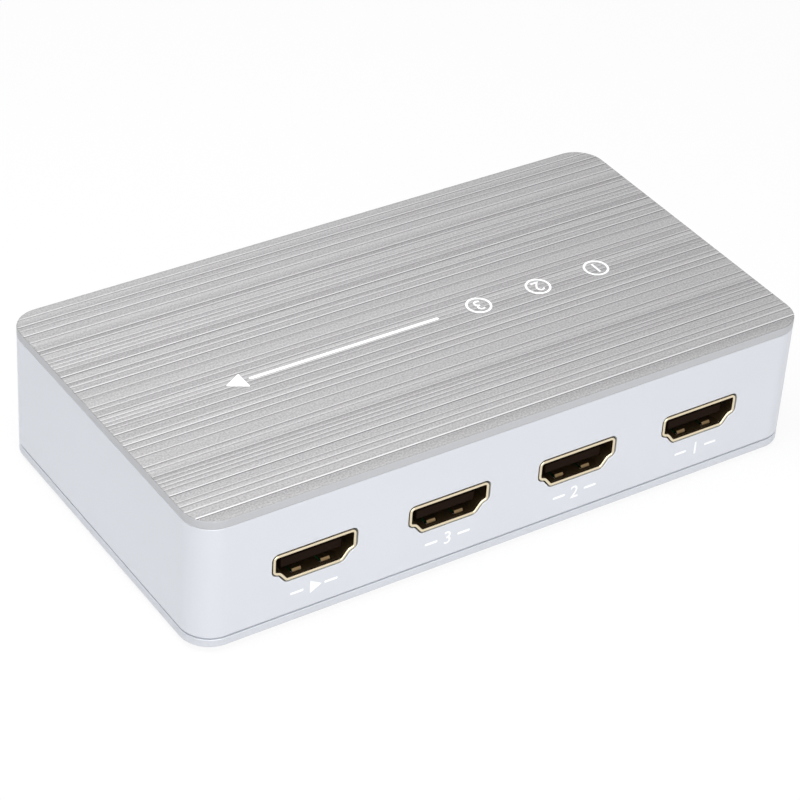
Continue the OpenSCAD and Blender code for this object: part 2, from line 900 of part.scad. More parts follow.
module switch_cover() {
    color("silver") {
        difference() {
            block(
                [button_x, cover_y + cover_t / 2],
                [switch_w + 2 * cover_t, cover_t, panel_rise + switch_w / 2],
                board_top
            );
            pointing_back(button_x, cover_y - over, panel_z)
                cylinder(r = plunger_r + slide_gap, h = cover_t + 2 * over);
        }
        for (side = [-1, 1])
            block(
                [button_x + side * (switch_w + cover_t) / 2, cover_y + (cover_t - switch_t) / 2],
                [cover_t, switch_t + cover_t, panel_rise + switch_w / 2],
                board_top
            );
    }
}

// Lamps and infrared

module lamp(i) {
    pointing_back(lamp_places[i], lamp_back_y, panel_z) {
        cylinder(r = lamp_r + lamp_rim_w, h = lamp_rim_t);
        cylinder(r = lamp_r, h = lamp_l - lamp_r);
        translate([0, 0, lamp_l - lamp_r])
            sphere(lamp_r);
    }
}

module power_lamp() {
    color("red")
        lamp(0);
}

module input_lamp(i) {
    color("deepskyblue")
        lamp(i);
}

// One lead: straight back from a lamp, then down to the board
module lamp_lead(x) {
    drawn_along(x - lead_w / 2, lead_w)
        polygon([
            [lamp_back_y, panel_z + lead_w / 2],
            [lamp_back_y - lead_reach, panel_z + lead_w / 2],
            [lamp_back_y - lead_reach, board_top],
            [lamp_back_y - lead_reach + lead_w, board_top],
            [lamp_back_y - lead_reach + lead_w, panel_z - lead_w / 2],
            [lamp_back_y, panel_z - lead_w / 2]
        ]);
}

module lamp_leads() {
    color("silver")
        for (x = lamp_places, side = [-1, 1])
            lamp_lead(x + side * lead_gap / 2);
}

module infrared_window() {
    color("darkred")
        pointing_back(window_x, back_in_y - window_rim_t, panel_z) {
            cylinder(r = window_r + window_rim_w, h = window_rim_t);
            cylinder(r = window_r, h = window_rim_t + wall_t);
        }
}

module infrared_receiver() {
    color("darkslategray") {
        block(
            [window_x, receiver_y + receiver_t / 2],
            [receiver_w, receiver_t, receiver_h],
            panel_z - receiver_h / 2
        );
        pointing_back(window_x, receiver_y, panel_z) {
            cylinder(r = lens_r, h = receiver_t);
            translate([0, 0, receiver_t])
                sphere(lens_r);
        }
    }
}

module receiver_leads() {
    color("silver")
        for (k = [-1 : 1])
            block(
                [window_x + k * lead_gap, receiver_y + receiver_t / 2],
                [lead_w, lead_w, panel_rise - receiver_h / 2],
                board_top
            );
}

// Power jack

module jack_body() {
    color("black")
        difference() {
            union() {
                block([jack_x + jack_l / 2, jack_y], [jack_l, jack_w, jack_h], board_top);
                pointing_along(jack_x + jack_l / 2, jack_y, jack_z)
                    cylinder(r = nose_r, h = jack_l / 2 + wall_t);
            }
            pointing_along(jack_floor_x, jack_y, jack_z)
                cylinder(r = jack_bore_r, h = jack_bore_l + over);
            pointing_along(jack_x - over, jack_y, jack_z)
                cylinder(r = pin_root_r + fit_gap, h = jack_l);
            translate([jack_floor_x, leaf_y - fit_gap, jack_z - leaf_w / 2 - slot_gap])
                cube([leaf_tip_x + slot_gap - jack_floor_x, jack_y - leaf_y, leaf_w + 2 * slot_gap]);
            translate([jack_x - over, leaf_y - fit_gap, jack_z - leaf_w / 2 - fit_gap])
                cube([jack_floor_x - jack_x + 2 * over, leaf_t + 2 * fit_gap, leaf_w + 2 * fit_gap]);
        }
}

module jack_centre_pin() {
    free_l = jack_bore_l - pin_setback;
    color("silver") {
        pointing_along(jack_x - pin_head_t, jack_y, jack_z) {
            cylinder(r = pin_r, h = pin_head_t);
            cylinder(r = pin_root_r, h = pin_head_t + jack_floor_x - jack_x + free_l / 2);
        }
        pointing_along(jack_floor_x, jack_y, jack_z)
            cylinder(r = pin_r, h = free_l);
    }
}

// Stamped strip: a leg behind the jack, a run through its back wall, and a leaf that bends into the bore
module jack_sleeve_contact() {
    tip_y = jack_y - jack_bore_r + leaf_bulge;
    leg_x = jack_x - fit_gap - leaf_w;
    color("silver") {
        translate([0, 0, jack_z - leaf_w / 2])
            linear_extrude(leaf_w)
                polygon([
                    [leg_x, leaf_y],
                    [jack_floor_x, leaf_y],
                    [leaf_tip_x, tip_y - leaf_t],
                    [leaf_tip_x, tip_y],
                    [jack_floor_x, leaf_y + leaf_t],
                    [leg_x, leaf_y + leaf_t]
                ]);
        translate([leg_x, leaf_y, board_top])
            cube([leaf_w, leaf_t, jack_rise]);
    }
}

// Parts on the board

// Pins of one side of a chip, in a row along x that starts at y and stands out towards +y
module pin_row(count, pitch, y) {
    for (k = [0 : count - 1])
        block(
            [(k - (count - 1) / 2) * pitch, y + chip_pin_l / 2],
            [chip_pin_w, chip_pin_l, chip_pin_t],
            board_top
        );
}

module switching_chip() {
    color("black")
        block(chip_at, [chip_w, chip_w, chip_t], board_top);
}

module switching_chip_pins() {
    color("silver")
        at_each([chip_at])
            for (turn = [0 : 90 : 270])
                rotate([0, 0, turn])
                    pin_row(chip_pins, chip_pitch, chip_w / 2);
}

module heat_sink() {
    fin_step = (chip_w - fin_t) / (sink_fins - 1);
    color("dimgray") {
        block(chip_at, [chip_w, chip_w, sink_base_t], board_top + chip_t);
        for (k = [0 : sink_fins - 1])
            block(
                [chip_at.x - (chip_w - fin_t) / 2 + k * fin_step, chip_at.y],
                [fin_t, chip_w, sink_h],
                board_top + chip_t
            );
    }
}

module controller_chip() {
    color("black")
        block(controller_at, [controller_l, controller_w, controller_t], board_top);
}

module memory_chip() {
    color("black")
        block(memory_at, [memory_l, memory_w, memory_t], board_top);
}

module small_chip_pins() {
    color("silver")
        for (turn = [0, 180]) {
            translate(controller_at)
                rotate([0, 0, turn])
                    pin_row(controller_pins, small_pitch, controller_w / 2);
            translate(memory_at)
                rotate([0, 0, turn])
                    pin_row(memory_pins, small_pitch, memory_w / 2);
        }
}

module voltage_regulator() {
    color("black")
        block(regulator_at, [regulator_l, regulator_w, regulator_t], board_top);
}

module regulator_leads() {
    color("silver")
        translate(regulator_at) {
            pin_row(3, regulator_l / 3, regulator_w / 2);
            block([0, -(regulator_w + chip_pin_l) / 2], [regulator_l / 2, chip_pin_l, chip_pin_t], board_top);
        }
}

module power_inductor() {
    color("dimgray")
        translate(inductor_at)
            raised(board_top, inductor_h)
                rounded_rect(inductor_w, inductor_w, inductor_r);
}

module crystal_can() {
    color("silver")
        translate(crystal_at)
            raised(board_top, crystal_h) {
                square([crystal_l - crystal_w, crystal_w], center = true);
                for (side = [-1, 1])
                    translate([side * (crystal_l - crystal_w) / 2, 0])
                        circle(crystal_w / 2);
            }
}

module capacitor_cans() {
    color("silver")
        at_each(capacitors_at)
            translate([0, 0, board_top + can_base_t])
                cylinder(r = can_r, h = can_h);
}

module capacitor_feet() {
    color("black")
        for (p = capacitors_at)
            block(p, [can_base_w, can_base_w, can_base_t], board_top);
}

module chip_passives() {
    color("tan")
        for (p = passives_at, k = [0 : passive_count - 1])
            block([p.x + k * passive_pitch, p.y], [passive_w, passive_l, passive_t], board_top);
}

module surge_arrays() {
    color("black")
        for (i = [0 : 3], side = [-1, 1])
            block([socket_x(i) + side * array_l, array_y], [array_l, array_l / 2, array_t], board_top);
}

housing();
top_plate();
top_adhesive();
base_plate();
base_screws();
rubber_feet();
circuit_board();
board_screws();
socket_shell(0);  // output_socket_shell
socket_shell(1);  // input_3_socket_shell
socket_shell(2);  // input_2_socket_shell
socket_shell(3);  // input_1_socket_shell
socket_tongue(0);  // output_socket_tongue
socket_tongue(1);  // input_3_socket_tongue
socket_tongue(2);  // input_2_socket_tongue
socket_tongue(3);  // input_1_socket_tongue
socket_contacts(0);  // output_socket_contacts
socket_contacts(1);  // input_3_socket_contacts
socket_contacts(2);  // input_2_socket_contacts
socket_contacts(3);  // input_1_socket_contacts
select_button();
switch_plunger();
switch_snap_dome();
switch_base();
switch_cover();
power_lamp();
input_lamp(1);  // input_1_lamp
input_lamp(2);  // input_2_lamp
input_lamp(3);  // input_3_lamp
lamp_leads();
infrared_window();
infrared_receiver();
receiver_leads();
jack_body();
jack_centre_pin();
jack_sleeve_contact();
switching_chip();
switching_chip_pins();
heat_sink();
controller_chip();
memory_chip();
small_chip_pins();
voltage_regulator();
regulator_leads();
power_inductor();
crystal_can();
capacitor_cans();
capacitor_feet();
chip_passives();
surge_arrays();
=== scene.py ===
"""Looks of the video switch box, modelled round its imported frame."""

import json
import math
from collections import namedtuple
from contextlib import contextmanager

import bmesh
import bpy
from bpy.props import FloatProperty, FloatVectorProperty, IntProperty, PointerProperty
from mathutils import Matrix, Vector


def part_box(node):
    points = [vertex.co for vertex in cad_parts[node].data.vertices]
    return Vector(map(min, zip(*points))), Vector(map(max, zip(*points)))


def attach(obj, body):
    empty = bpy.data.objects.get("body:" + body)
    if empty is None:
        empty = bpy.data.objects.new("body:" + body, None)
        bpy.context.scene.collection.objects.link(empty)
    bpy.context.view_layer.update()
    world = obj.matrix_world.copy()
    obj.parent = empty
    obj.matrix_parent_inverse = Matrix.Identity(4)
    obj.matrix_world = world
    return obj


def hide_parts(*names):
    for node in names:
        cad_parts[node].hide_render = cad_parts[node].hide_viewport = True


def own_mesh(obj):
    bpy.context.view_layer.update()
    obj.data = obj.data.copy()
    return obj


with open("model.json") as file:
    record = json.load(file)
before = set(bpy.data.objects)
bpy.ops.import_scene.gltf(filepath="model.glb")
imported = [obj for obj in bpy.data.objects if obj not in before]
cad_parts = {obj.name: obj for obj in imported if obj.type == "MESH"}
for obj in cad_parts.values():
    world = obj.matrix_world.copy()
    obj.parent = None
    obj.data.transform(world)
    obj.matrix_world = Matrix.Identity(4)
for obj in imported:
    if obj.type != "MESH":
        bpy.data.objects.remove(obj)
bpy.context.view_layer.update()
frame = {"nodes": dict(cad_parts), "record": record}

bl_info = {
    "name": "Video switch box",
    "version": (1, 0, 0),
    "blender": (4, 5, 0),
    "location": "View3D > Sidebar > Switch Box",
    "description": "Models the case, sockets, button and marks of a video switch box round its frame",
    "category": "Add Mesh",
}

SOCKETS = ("output", "input_3", "input_2", "input_1")
LAMPS = ("power_lamp", "input_1_lamp", "input_2_lamp", "input_3_lamp")
CORNER_SIGNS = ((-1, -1), (-1, 1), (1, -1), (1, 1))
# Width of the frame that the camera's focal length is given for
FRAME_PIXELS = 800
MILLIMETRE = 0.001

# Steps in round corners, soft edges, round bars, an outline's arcs and a digit's curves
CORNER_STEPS = 14
SOFT_STEPS = 3
ROUND_SIDES = 64
ARC_STEPS = 5
DIGIT_STEPS = 6
# Rounding of a printed bar's ends as a share of its width, and of an arrow's points as a share of its radius
BAR_ROUNDING = 1 / 2.2
ARROW_ROUNDING = 0.1

# A face points along an axis if its normal does so this far, and is upright if it rises less than the second
FACING = 0.99
UPRIGHT = 0.5
# An edge is sharp above the first of these angles, and lies within a flat face below the second
SHARP = math.radians(35)
FLAT_ANGLE = math.radians(0.5)
# Places closer than this are the same
SAME_PLACE = 1e-6
# Overshoot of cutters past the faces that they open
OVERSHOOT = 0.001

# Spacing of the top plate's grooves in millimetres, repeated over its depth
GROOVE_STEPS = (2.7, 2.1, 1.5, 1.2, 1.9, 1.6, 0.9, 0.9, 0.9, 1.0, 1.6, 1.1)
# How strongly the painted shade and light of one groove after the other show, as shares of the strongest
PAINTED_GROOVE_STRENGTHS = (1.0, 0.55, 0.8, 0.45, 0.95, 0.6, 0.75)
# Spacing from which a groove's painted shade and light show at their full strength
OPEN_STEP = 0.0016
# Cuts across a groove, as shares of half its width, each with its share of the depth
GROOVE_CUTS = ((-1, 0), (-0.5, 0.5), (0, 1), (0.5, 0.5), (1, 0))
# Face value on the top plate: down to -1 for painted shade deep in a groove, up to 1 for painted light on a
# lit wall, with values of their own for the painted shade on the soft rim and for the plain edge all round
PAINTED_LIGHT_AND_EDGE = "groove_wall"
RIM_PAINTED_SHADE = -0.15
PLAIN_EDGE = 2
# A face of the top lies flat if its normal rises this far
FLAT_NORMAL = 0.995

# Numbers of a mix node's inputs for its factor and both sides, as values and as colours
MIX_VALUES = (0, 2, 3)
MIX_COLOURS = (0, 6, 7)
# Limits that a noise mostly keeps to, and the detail of each noise
NOISE_LIMITS = (0.3, 0.7)
GRAIN_DETAIL = 2
CLOUD_DETAIL = 4
LINE_DETAIL = 3
# Share of the grain beside the clouds on a satin surface
SATIN_GRAIN = 0.45
# Noise cells per metre along and across drawn sheet
SHEET_LINES = (60, 6000)
# Noise cells per metre along and across the top plate: its bands, its hairlines and its grain
TOP_BANDS = (0.15, 420)
TOP_HAIRS = (2, 2000)
TOP_GRAIN = (2900, 3600)
# Share of the hairlines beside the bands, and of the grain over both
HAIR_SHARE = 0.25
GRAIN_SHARE = 0.45
# The top plate's dark lines as a share of its colour
LINE_SHADE = 0.35
# Roughness of the sockets' shells within their mouths, and gloss of their tongues
INSIDE_ROUGHNESS = 0.42
TONGUE_GLOSS = 0.05
# The board's tracks: cells per metre, start and end of their soft edge in a cell, how much paler they are
TRACK_CELLS = 160
TRACK_EDGE = (0.05, 0.09)
TRACK_GAIN = 1.7
TRACK_LIFT = 0.01
# Resin of the lamps and the window
CLEAR_RESIN = {"Transmission Weight": 0.35, "IOR": 1.52, "Coat Weight": 0.6, "Coat Roughness": 0.08}

# Studio lamps: name, place, side and power in watts
STUDIO_LAMPS = (
    ("front_lamp", (-0.24, -0.9, 0.3), 1.0, 6.2),
    ("corner_lamp", (-0.5, -0.5, 0.25), 0.4, 0.28),
    ("near_lamp", (-0.06, -0.02, 0.25), 0.2, 0.58),
    ("back_lamp", (0.1, 0.95, 0.3), 1.0, 3.6),
    ("right_lamp", (0.95, 0.1, 0.4), 0.8, 0.3),
)
# Paint of the surround and the floor, and the camera's near limit
WHITE = (1, 1, 1, 1)
FLOOR_COLOUR = (0.9, 0.9, 0.9, 1)
FLOOR_ROUGHNESS = 0.9
CLIP_START = 0.01


def linear(red, green, blue):
    """A screen colour of 0 to 255 a channel as the linear colour that shaders take."""
    return tuple(((c / 255 + 0.055) / 1.055) ** 2.4 for c in (red, green, blue))


def length_property(name, description, default):
    """A length in metres."""
    return FloatProperty(name=name, description=description, default=default, unit="LENGTH", precision=5)


def share_property(name, description, default):
    """A share of 0 to 1."""
    return FloatProperty(name=name, description=description, default=default, subtype="FACTOR")


def angle_property(name, description, degrees):
    """An angle, given in degrees."""
    return FloatProperty(name=name, description=description, default=math.radians(degrees), subtype="ANGLE")


def colour_property(name, description, default):
    """A linear colour."""
    return FloatVectorProperty(name=name, description=description, default=default, subtype="COLOR", size=3)


class SwitchBoxCase(bpy.types.PropertyGroup):
    corner_radius: length_property("Corner radius", "Radius of the case's upright corners", 0.0052)
    wall: length_property("Wall", "Thickness of the case's side walls", 0.002)
    roof: length_property("Roof", "Thickness of the case's roof", 0.0016)
    soft_edge: length_property("Soft edge", "Rounding of the case's long edges", 0.00016)
    rim_edge: length_property("Rim edge", "Rounding of the openings' rims", 0.00008)
    film_inset: length_property("Film inset", "Distance of the adhesive film from the case's edge", 0.004)
    film: length_property("Film", "Thickness of the adhesive film", 0.0002)
    boss_radius: length_property("Boss radius", "Radius of the bosses in the corners", 0.0038)
    boss_hole: length_property("Boss hole", "Radius of the screw holes in the bosses", 0.00155)
    boss_hole_top: length_property("Boss hole top", "Height of the blind end of those holes", 0.011)
    post_radius: length_property("Post radius", "Radius of the posts that carry the board", 0.003)
    post_hole: length_property("Post hole", "Radius of the screw holes in the posts", 0.0013)
    post_hole_depth: length_property("Post hole depth", "Depth of the screw holes in the posts", 0.006)
    seam_depth: length_property("Seam depth", "Depth of the seam over the base plate", 0.00036)
    seam_height: length_property("Seam height", "Height of the seam over the base plate", 0.0003)
    hole_gap: length_property("Hole gap", "Gap round lamps, window, jack and screws", 0.00005)
    colour: colour_property("Case colour", "Colour of the blasted metal", linear(217, 220, 226))


class SwitchBoxTop(bpy.types.PropertyGroup):
    groove_start: length_property("Groove start", "Place of a repeat's first groove from the middle", 0.0028)
    groove_width: length_property("Groove width", "Width of a groove at the surface", 0.0005)
    groove_depth: length_property("Groove depth", "Depth of a groove", 0.00014)
    soft_edge: length_property("Soft edge", "Rounding of the plate's upper edge", 0.0002)
    colour: colour_property("Top colour", "Colour of the lined metal", linear(191, 190, 191))
    # Painted shade: the colour laid on the lower half of each groove, where it would lie in shade
    painted_groove_shade: colour_property("Groove colour", "Colour of a groove's shaded wall", linear(104, 104, 105))
    edge_colour: colour_property("Edge colour", "Colour of the plain edge", linear(187, 188, 191))
    # Painted light: the colour laid on the upper half of groove walls that face the front
    painted_crest_light: colour_property("Crest colour", "Colour of a groove's lit wall", linear(209, 208, 209))


class SwitchBoxSockets(bpy.types.PropertyGroup):
    mouth_width: length_property("Mouth width", "Width of a socket's mouth", 0.014)
    mouth_height: length_property("Mouth height", "Height of a socket's mouth", 0.00455)
    side_height: length_property("Side height", "Height of the mouth's straight sides", 0.0027)
    ear_width: length_property("Ear width", "Width of the ear under each side", 0.001)
    ear_drop: length_property("Ear drop", "Fall of the ear", 0.00035)
    floor_width: length_property("Floor width", "Width of the mouth's floor", 0.0097)
    corner_radius: length_property("Corner radius", "Radius of the mouth's outer corners", 0.0004)
    waist_radius: length_property("Waist radius", "Radius of the hollow beside the floor", 0.0013)
    shell: length_property("Shell", "Thickness of a socket's shell", 0.0005)
    lip: length_property("Lip", "Rounding of the shell's lip", 0.0002)
    wall_gap: length_property("Wall gap", "Gap round a shell in the case's wall", 0.00025)
    wall_lift: length_property("Wall lift", "Height of the wall's openings over the shells", 0.0001)
    leg_width: length_property("Leg width", "Width of a shell's legs", 0.0016)
    leg_front: length_property("Leg front", "Distance of the front legs behind the mouth", 0.0042)
    leg_back: length_property("Leg back", "Distance of the back legs from the shell's end", 0.003)
    finger_gap: length_property("Finger gap", "Distance between two spring fingers", 0.0052)
    finger_width: length_property("Finger width", "Width of a spring finger", 0.0016)
    finger_length: length_property("Finger length", "Length of a spring finger", 0.0055)
    finger_sheet: length_property("Finger sheet", "Thickness of a spring finger", 0.00025)
    finger_bulge: length_property("Finger bulge", "How far a spring finger bulges inwards", 0.00045)
    finger_slot: length_property("Finger slot", "Gap round a spring finger", 0.00025)
    finger_crest: share_property("Finger crest", "Share of a finger's length from root to crest", 0.93)
    tongue_width: length_property("Tongue width", "Width of a tongue", 0.011)
    tongue_sheet: length_property("Tongue thickness", "Thickness of a tongue", 0.0017)
    tongue_length: length_property("Tongue length", "Length of a tongue", 0.0056)
    tongue_edge: length_property("Tongue edge", "Rounding of a tongue's tip", 0.0002)
    gold: colour_property("Gold", "Colour of the plated shells at their lips", linear(236, 222, 192))
    # Painted shade: the shells are darkened to this colour within their mouths, where shade falls
    inside: colour_property("Inside", "Colour of the shells within their mouths", linear(122, 102, 74))
    # Depth behind the mouth at which the painted shade starts, and over which it grows to full
    painted_shade_depth: length_property("Lip depth", "Depth of the bright lip", 0.0003)


class SwitchBoxPanel(bpy.types.PropertyGroup):
    cap_radius: length_property("Cap radius", "Radius of the button's cap", 0.004)
    cap_gap: length_property("Cap gap", "Gap round the button's cap", 0.00008)
    cap_edge: length_property("Cap edge", "Rounding of the cap's face", 0.0003)
    dish_width: length_property("Dish width", "Distance of the dish from the cap's edge", 0.0007)
    dish_depth: length_property("Dish depth", "Depth of the dish in the cap's face", 0.00012)
    ring_width: length_property("Ring width", "Width of a turned ring in the dish", 0.00045)
    ring_depth: length_property("Ring depth", "Depth of a turned ring in the dish", 0.00003)
    ring_count: IntProperty(name="Rings", description="Number of turned rings in the dish", default=4)
    flange: length_property("Flange", "Thickness of the button's flange", 0.0008)
    stem_radius: length_property("Stem radius", "Radius of the button's stem", 0.0015)
    stem_length: length_property("Stem length", "Length of the button's stem", 0.0015)
    stem_edge: length_property("Stem edge", "Rounding of the stem's end", 0.00015)
    dome_sheet: length_property("Dome sheet", "Thickness of the snap dome's sheet", 0.0001)
    lamp_radius: length_property("Lamp radius", "Radius of a lamp", 0.0015)
    window_radius: length_property("Window radius", "Radius of the infrared window", 0.003)
    window_edge: length_property("Window edge", "Rounding of the window's face", 0.00025)
    nose_radius: length_property("Nose radius", "Radius of the jack's nose", 0.0042)
    nose_edge: length_property("Nose edge", "Rounding of the jack's mouth", 0.0002)


class SwitchBoxBase(bpy.types.PropertyGroup):
    foot_radius: length_property("Foot radius", "Radius of a rubber foot", 0.0045)
    foot_edge: length_property("Foot edge", "Rounding of a foot's lower edge", 0.0003)
    foot_rim: length_property("Foot rim", "Width of the rim that a foot stands on", 0.0012)
    foot_dish: length_property("Foot dish", "Depth of the dish within that rim", 0.0002)
    head_radius: length_property("Head radius", "Radius of a base screw's sunk head", 0.0028)
    head_height: length_property("Head height", "Height of a base screw's sunk head", 0.0013)
    shank_radius: length_property("Shank radius", "Radius of a base screw's shank", 0.0015)
    tip_edge: length_property("Tip edge", "Bevel of a base screw's tip", 0.0004)
    recess_length: length_property("Recess length", "Length of the cross recess", 0.0026)
    recess_width: length_property("Recess width", "Width of the cross recess", 0.0006)
    recess_depth: length_property("Recess depth", "Depth of the cross recess", 0.0007)
    board_head_radius: length_property("Board head radius", "Radius of a board screw's head", 0.0023)


class SwitchBoxMarks(bpy.types.PropertyGroup):
    film: length_property("Film", "How far the print stands on the metal", 0.00003)
    sink: length_property("Sink", "How far the print reaches into the metal", 0.00005)
    digit_height: length_property("Digit height", "Height of the digits under the sockets", 0.0024)
    digit_rise: length_property("Digit rise", "Height of their middles over the base plate", 0.0055)
    bar_length: length_property("Bar length", "Length of a bar beside a digit", 0.0024)
    bar_width: length_property("Bar width", "Width of a bar", 0.00042)
    bar_place: length_property("Bar place", "Distance of a bar's middle from the digit's", 0.0031)
    arrow_radius: length_property("Arrow radius", "Size of the arrow under the output", 0.0014)
    top_height: length_property("Top height", "Height of the marks on the top", 0.0045)
    top_place: length_property("Top place", "Place of those marks across the top", -0.002)
    ring_width: length_property("Ring width", "Line width of the rings on the top", 0.0004)
    ring_pitch: length_property("Ring pitch", "Distance between two rings", 0.012)
    ringed_height: length_property("Ringed height", "Height of the digits in the rings", 0.00252)
    line_length: length_property("Line length", "Length of the line on the top", 0.036)
    line_width: length_property("Line width", "Width of that line", 0.0006)
    line_place: length_property("Line place", "Place of that line's middle along the top", -0.014)
    head_place: length_property("Head place", "Place of the arrow head along the top", -0.034)
    panel_height: length_property("Panel height", "Height of the digits over the lamps", 0.0021)
    panel_rise: length_property("Panel rise", "Distance of those digits from their lamps", 0.0041)
    colour: colour_property("Print colour", "Colour of the print on front and top", linear(250, 251, 252))
    panel_colour: colour_property("Panel print", "Colour of the print on the panel", linear(104, 106, 110))


class SwitchBoxStage(bpy.types.PropertyGroup):
    azimuth: angle_property("Azimuth", "Turn of the camera from the socket side", -35.198)
    elevation: angle_property("Elevation", "Height angle of the camera", 35.634)
    roll: angle_property("Roll", "Turn of the camera about its own axis", 3.940)
    distance: length_property("Distance", "Distance of the camera from its aim", 0.47999)
    aim: FloatVectorProperty(
        name="Aim", description="Point that the camera looks at",
        default=(-0.003691, -0.003578, 0.0126), subtype="XYZ", unit="LENGTH", precision=5,
    )
    focal_pixels: FloatProperty(
        name="Focal length", description="Focal length in pixels of the frame", default=2909.72,
    )
    sensor: FloatProperty(name="Sensor", description="Width of the camera's sensor in mm", default=36)
    floor_size: length_property("Floor size", "Side of the floor", 4)
    floor_share: share_property("Floor white", "Share of plain white in the floor, over its shading", 0.9)
    ambient: FloatProperty(name="Ambient", description="Strength of the light from all round", default=0.27)


def clear_selection():
    """Leaves edit mode and deselects every object."""
    if bpy.context.object is not None and bpy.context.object.mode != "OBJECT":
        bpy.ops.object.mode_set(mode="OBJECT")
    bpy.ops.object.select_all(action="DESELECT")


def activate(piece):
    """Makes a piece the only selected object, and the active one."""
    clear_selection()
    piece.select_set(True)
    bpy.context.view_layer.objects.active = piece


@contextmanager
def editing(piece):
    """Edit mode on a piece, and back to object mode after it."""
    activate(piece)
    bpy.ops.object.mode_set(mode="EDIT")
    yield
    bpy.ops.object.mode_set(mode="OBJECT")


def pick(piece, kind, test):
    """In edit mode, selects just the vertices, edges or faces that pass a test."""
    bpy.ops.mesh.select_mode(type=kind)
    bpy.ops.mesh.select_all(action="DESELECT")
    mesh = bmesh.from_edit_mesh(piece.data)
    elements = {"VERT": mesh.verts, "EDGE": mesh.edges, "FACE": mesh.faces}[kind]
    found = [e for e in elements if test(e)]
    if not found:
        raise RuntimeError(f"nothing to pick on {piece.name}")
    for element in found:
        element.select_set(True)
    mesh.select_flush_mode()
    bmesh.update_edit_mesh(piece.data)


def near(a, b):
    """Whether two places are the same."""
    return abs(a - b) < SAME_PLACE


def lies_at(edge, axis, place):
    """Whether both ends of an edge lie at a place along an axis."""
    return all(near(vert.co[axis], place) for vert in edge.verts)


def edges_at(axis, place):
    """A test for edges that lie at a place along an axis."""
    return lambda edge: lies_at(edge, axis, place)


def is_upright(edge):
    """Whether the ends of an edge lie at two heights."""
    return not near(edge.verts[0].co.z, edge.verts[1].co.z)


def is_sharp(edge):
    """Whether the faces on both sides of an edge meet at a clear angle."""
    return len(edge.link_faces) == 2 and edge.calc_face_angle() > SHARP


def faces_along(axis, sign, place):
    """A test for faces that point along an axis and lie at a place on it."""
    return lambda face: face.normal[axis] * sign > FACING and near(face.calc_center_median()[axis], place)


def soften(piece, test, offset, steps=SOFT_STEPS):
    """In edit mode, rounds the edges that pass a test."""
    pick(piece, "EDGE", test)
    bpy.ops.mesh.bevel(offset=offset, segments=steps, affect="EDGES")


def hollow_out(piece, axis, wall):
    """In edit mode, opens a solid bar from end to end along an axis, down to a wall."""
    pick(piece, "FACE", lambda face: abs(face.normal[axis]) > FACING)
    bpy.ops.mesh.inset(thickness=wall)
    bpy.ops.mesh.bridge_edge_loops()


def settle():
    """Takes the selected object's place, turn and scale into its mesh."""
    bpy.ops.object.transform_apply(location=True, rotation=True, scale=True)


def add_new(name, add, **settings):
    """A new object made by an operator, named and selected alone."""
    clear_selection()
    add(**settings)
    bpy.context.object.name = name
    return bpy.context.object


def add_block(name, one, other):
    """A block between two opposite corners."""
    low = Vector([min(pair) for pair in zip(one, other)])
    high = Vector([max(pair) for pair in zip(one, other)])
    block = add_new(name, bpy.ops.mesh.primitive_cube_add, size=1, location=(low + high) / 2)
    block.scale = high - low
    settle()
    return block


def add_bar(name, start, axis, length, radius, end_radius=None, sides=ROUND_SIDES):
    """A round bar, or a cone, from a point along an axis."""
    turn = {0: (0, math.pi / 2, 0), 1: (-math.pi / 2, 0, 0), 2: (0, 0, 0)}[axis]
    middle = Vector(start)
    middle[axis] += length / 2
    bar = add_new(
        name,
        bpy.ops.mesh.primitive_cone_add,
        vertices=sides,
        radius1=radius,
        radius2=radius if end_radius is None else end_radius,
        depth=length,
        location=middle,
        rotation=turn,
    )
    settle()
    return bar


def combine(piece, other, operation):
    """Joins another solid to a piece, or cuts it away, and uses it up."""
    modifier = piece.modifiers.new(operation.lower(), "BOOLEAN")
    modifier.operation = operation
    modifier.solver = "EXACT"
    modifier.object = other
    activate(piece)
    bpy.ops.object.modifier_apply(modifier=modifier.name)
    bpy.data.objects.remove(other)


def cut_away(piece, *cutters):
    """Cuts solids out of a piece."""
    for cutter in cutters:
        combine(piece, cutter, "DIFFERENCE")


def build_on(piece, *parts):
    """Joins solids to a piece."""
    for part in parts:
        combine(piece, part, "UNION")


def copy_moved(piece, name, shift):
    """A copy of a piece with its own mesh, moved by a shift."""
    activate(piece)
    bpy.ops.object.duplicate(linked=False)
    twin = bpy.context.object
    twin.name = name
    bpy.ops.transform.translate(value=shift)
    settle()
    return twin


def merge_pieces(name, pieces):
    """Several pieces as one object."""
    activate(pieces[0])
    for piece in pieces:
        piece.select_set(True)
    bpy.ops.object.join()
    whole = bpy.context.object
    whole.name = name
    return whole


def merged_copy(name, node):
    """A copy of a node of the frame, with its loose triangles merged and its flat faces whole."""
    source = frame["nodes"][node]
    copy = bpy.data.objects.new(name, source.data.copy())
    bpy.context.scene.collection.objects.link(copy)
    with editing(copy):
        bpy.ops.mesh.customdata_custom_splitnormals_clear()
        bpy.ops.mesh.select_all(action="SELECT")
        bpy.ops.mesh.remove_doubles(threshold=SAME_PLACE)
        bpy.ops.mesh.dissolve_limited(angle_limit=FLAT_ANGLE)
    return copy


def level_shading(piece):
    """Smooth shading that keeps flat faces flat up to their soft edges."""
    activate(piece)
    bpy.ops.object.shade_smooth_by_angle(angle=SHARP)
    modifier = piece.modifiers.new("level", "WEIGHTED_NORMAL")
    modifier.keep_sharp = True
    bpy.ops.object.modifier_apply(modifier=modifier.name)


def hand_over(piece, body, slot, *nodes):
    """Gives a piece its shading and a slot's finish, and puts it on its body, in place of any nodes."""
    level_shading(piece)
    piece.data.materials.clear()
    piece.data.materials.append(finish_of(slot))
    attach(piece, body)
    if nodes:
        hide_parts(*nodes)


def set_out(piece, name, places):
    """A piece made at the first of several places, copied to the others, as one object."""
    x, y = places[0]
    copies = [copy_moved(piece, piece.name, (px - x, py - y, 0)) for px, py in places[1:]]
    return merge_pieces(name, [piece] + copies)


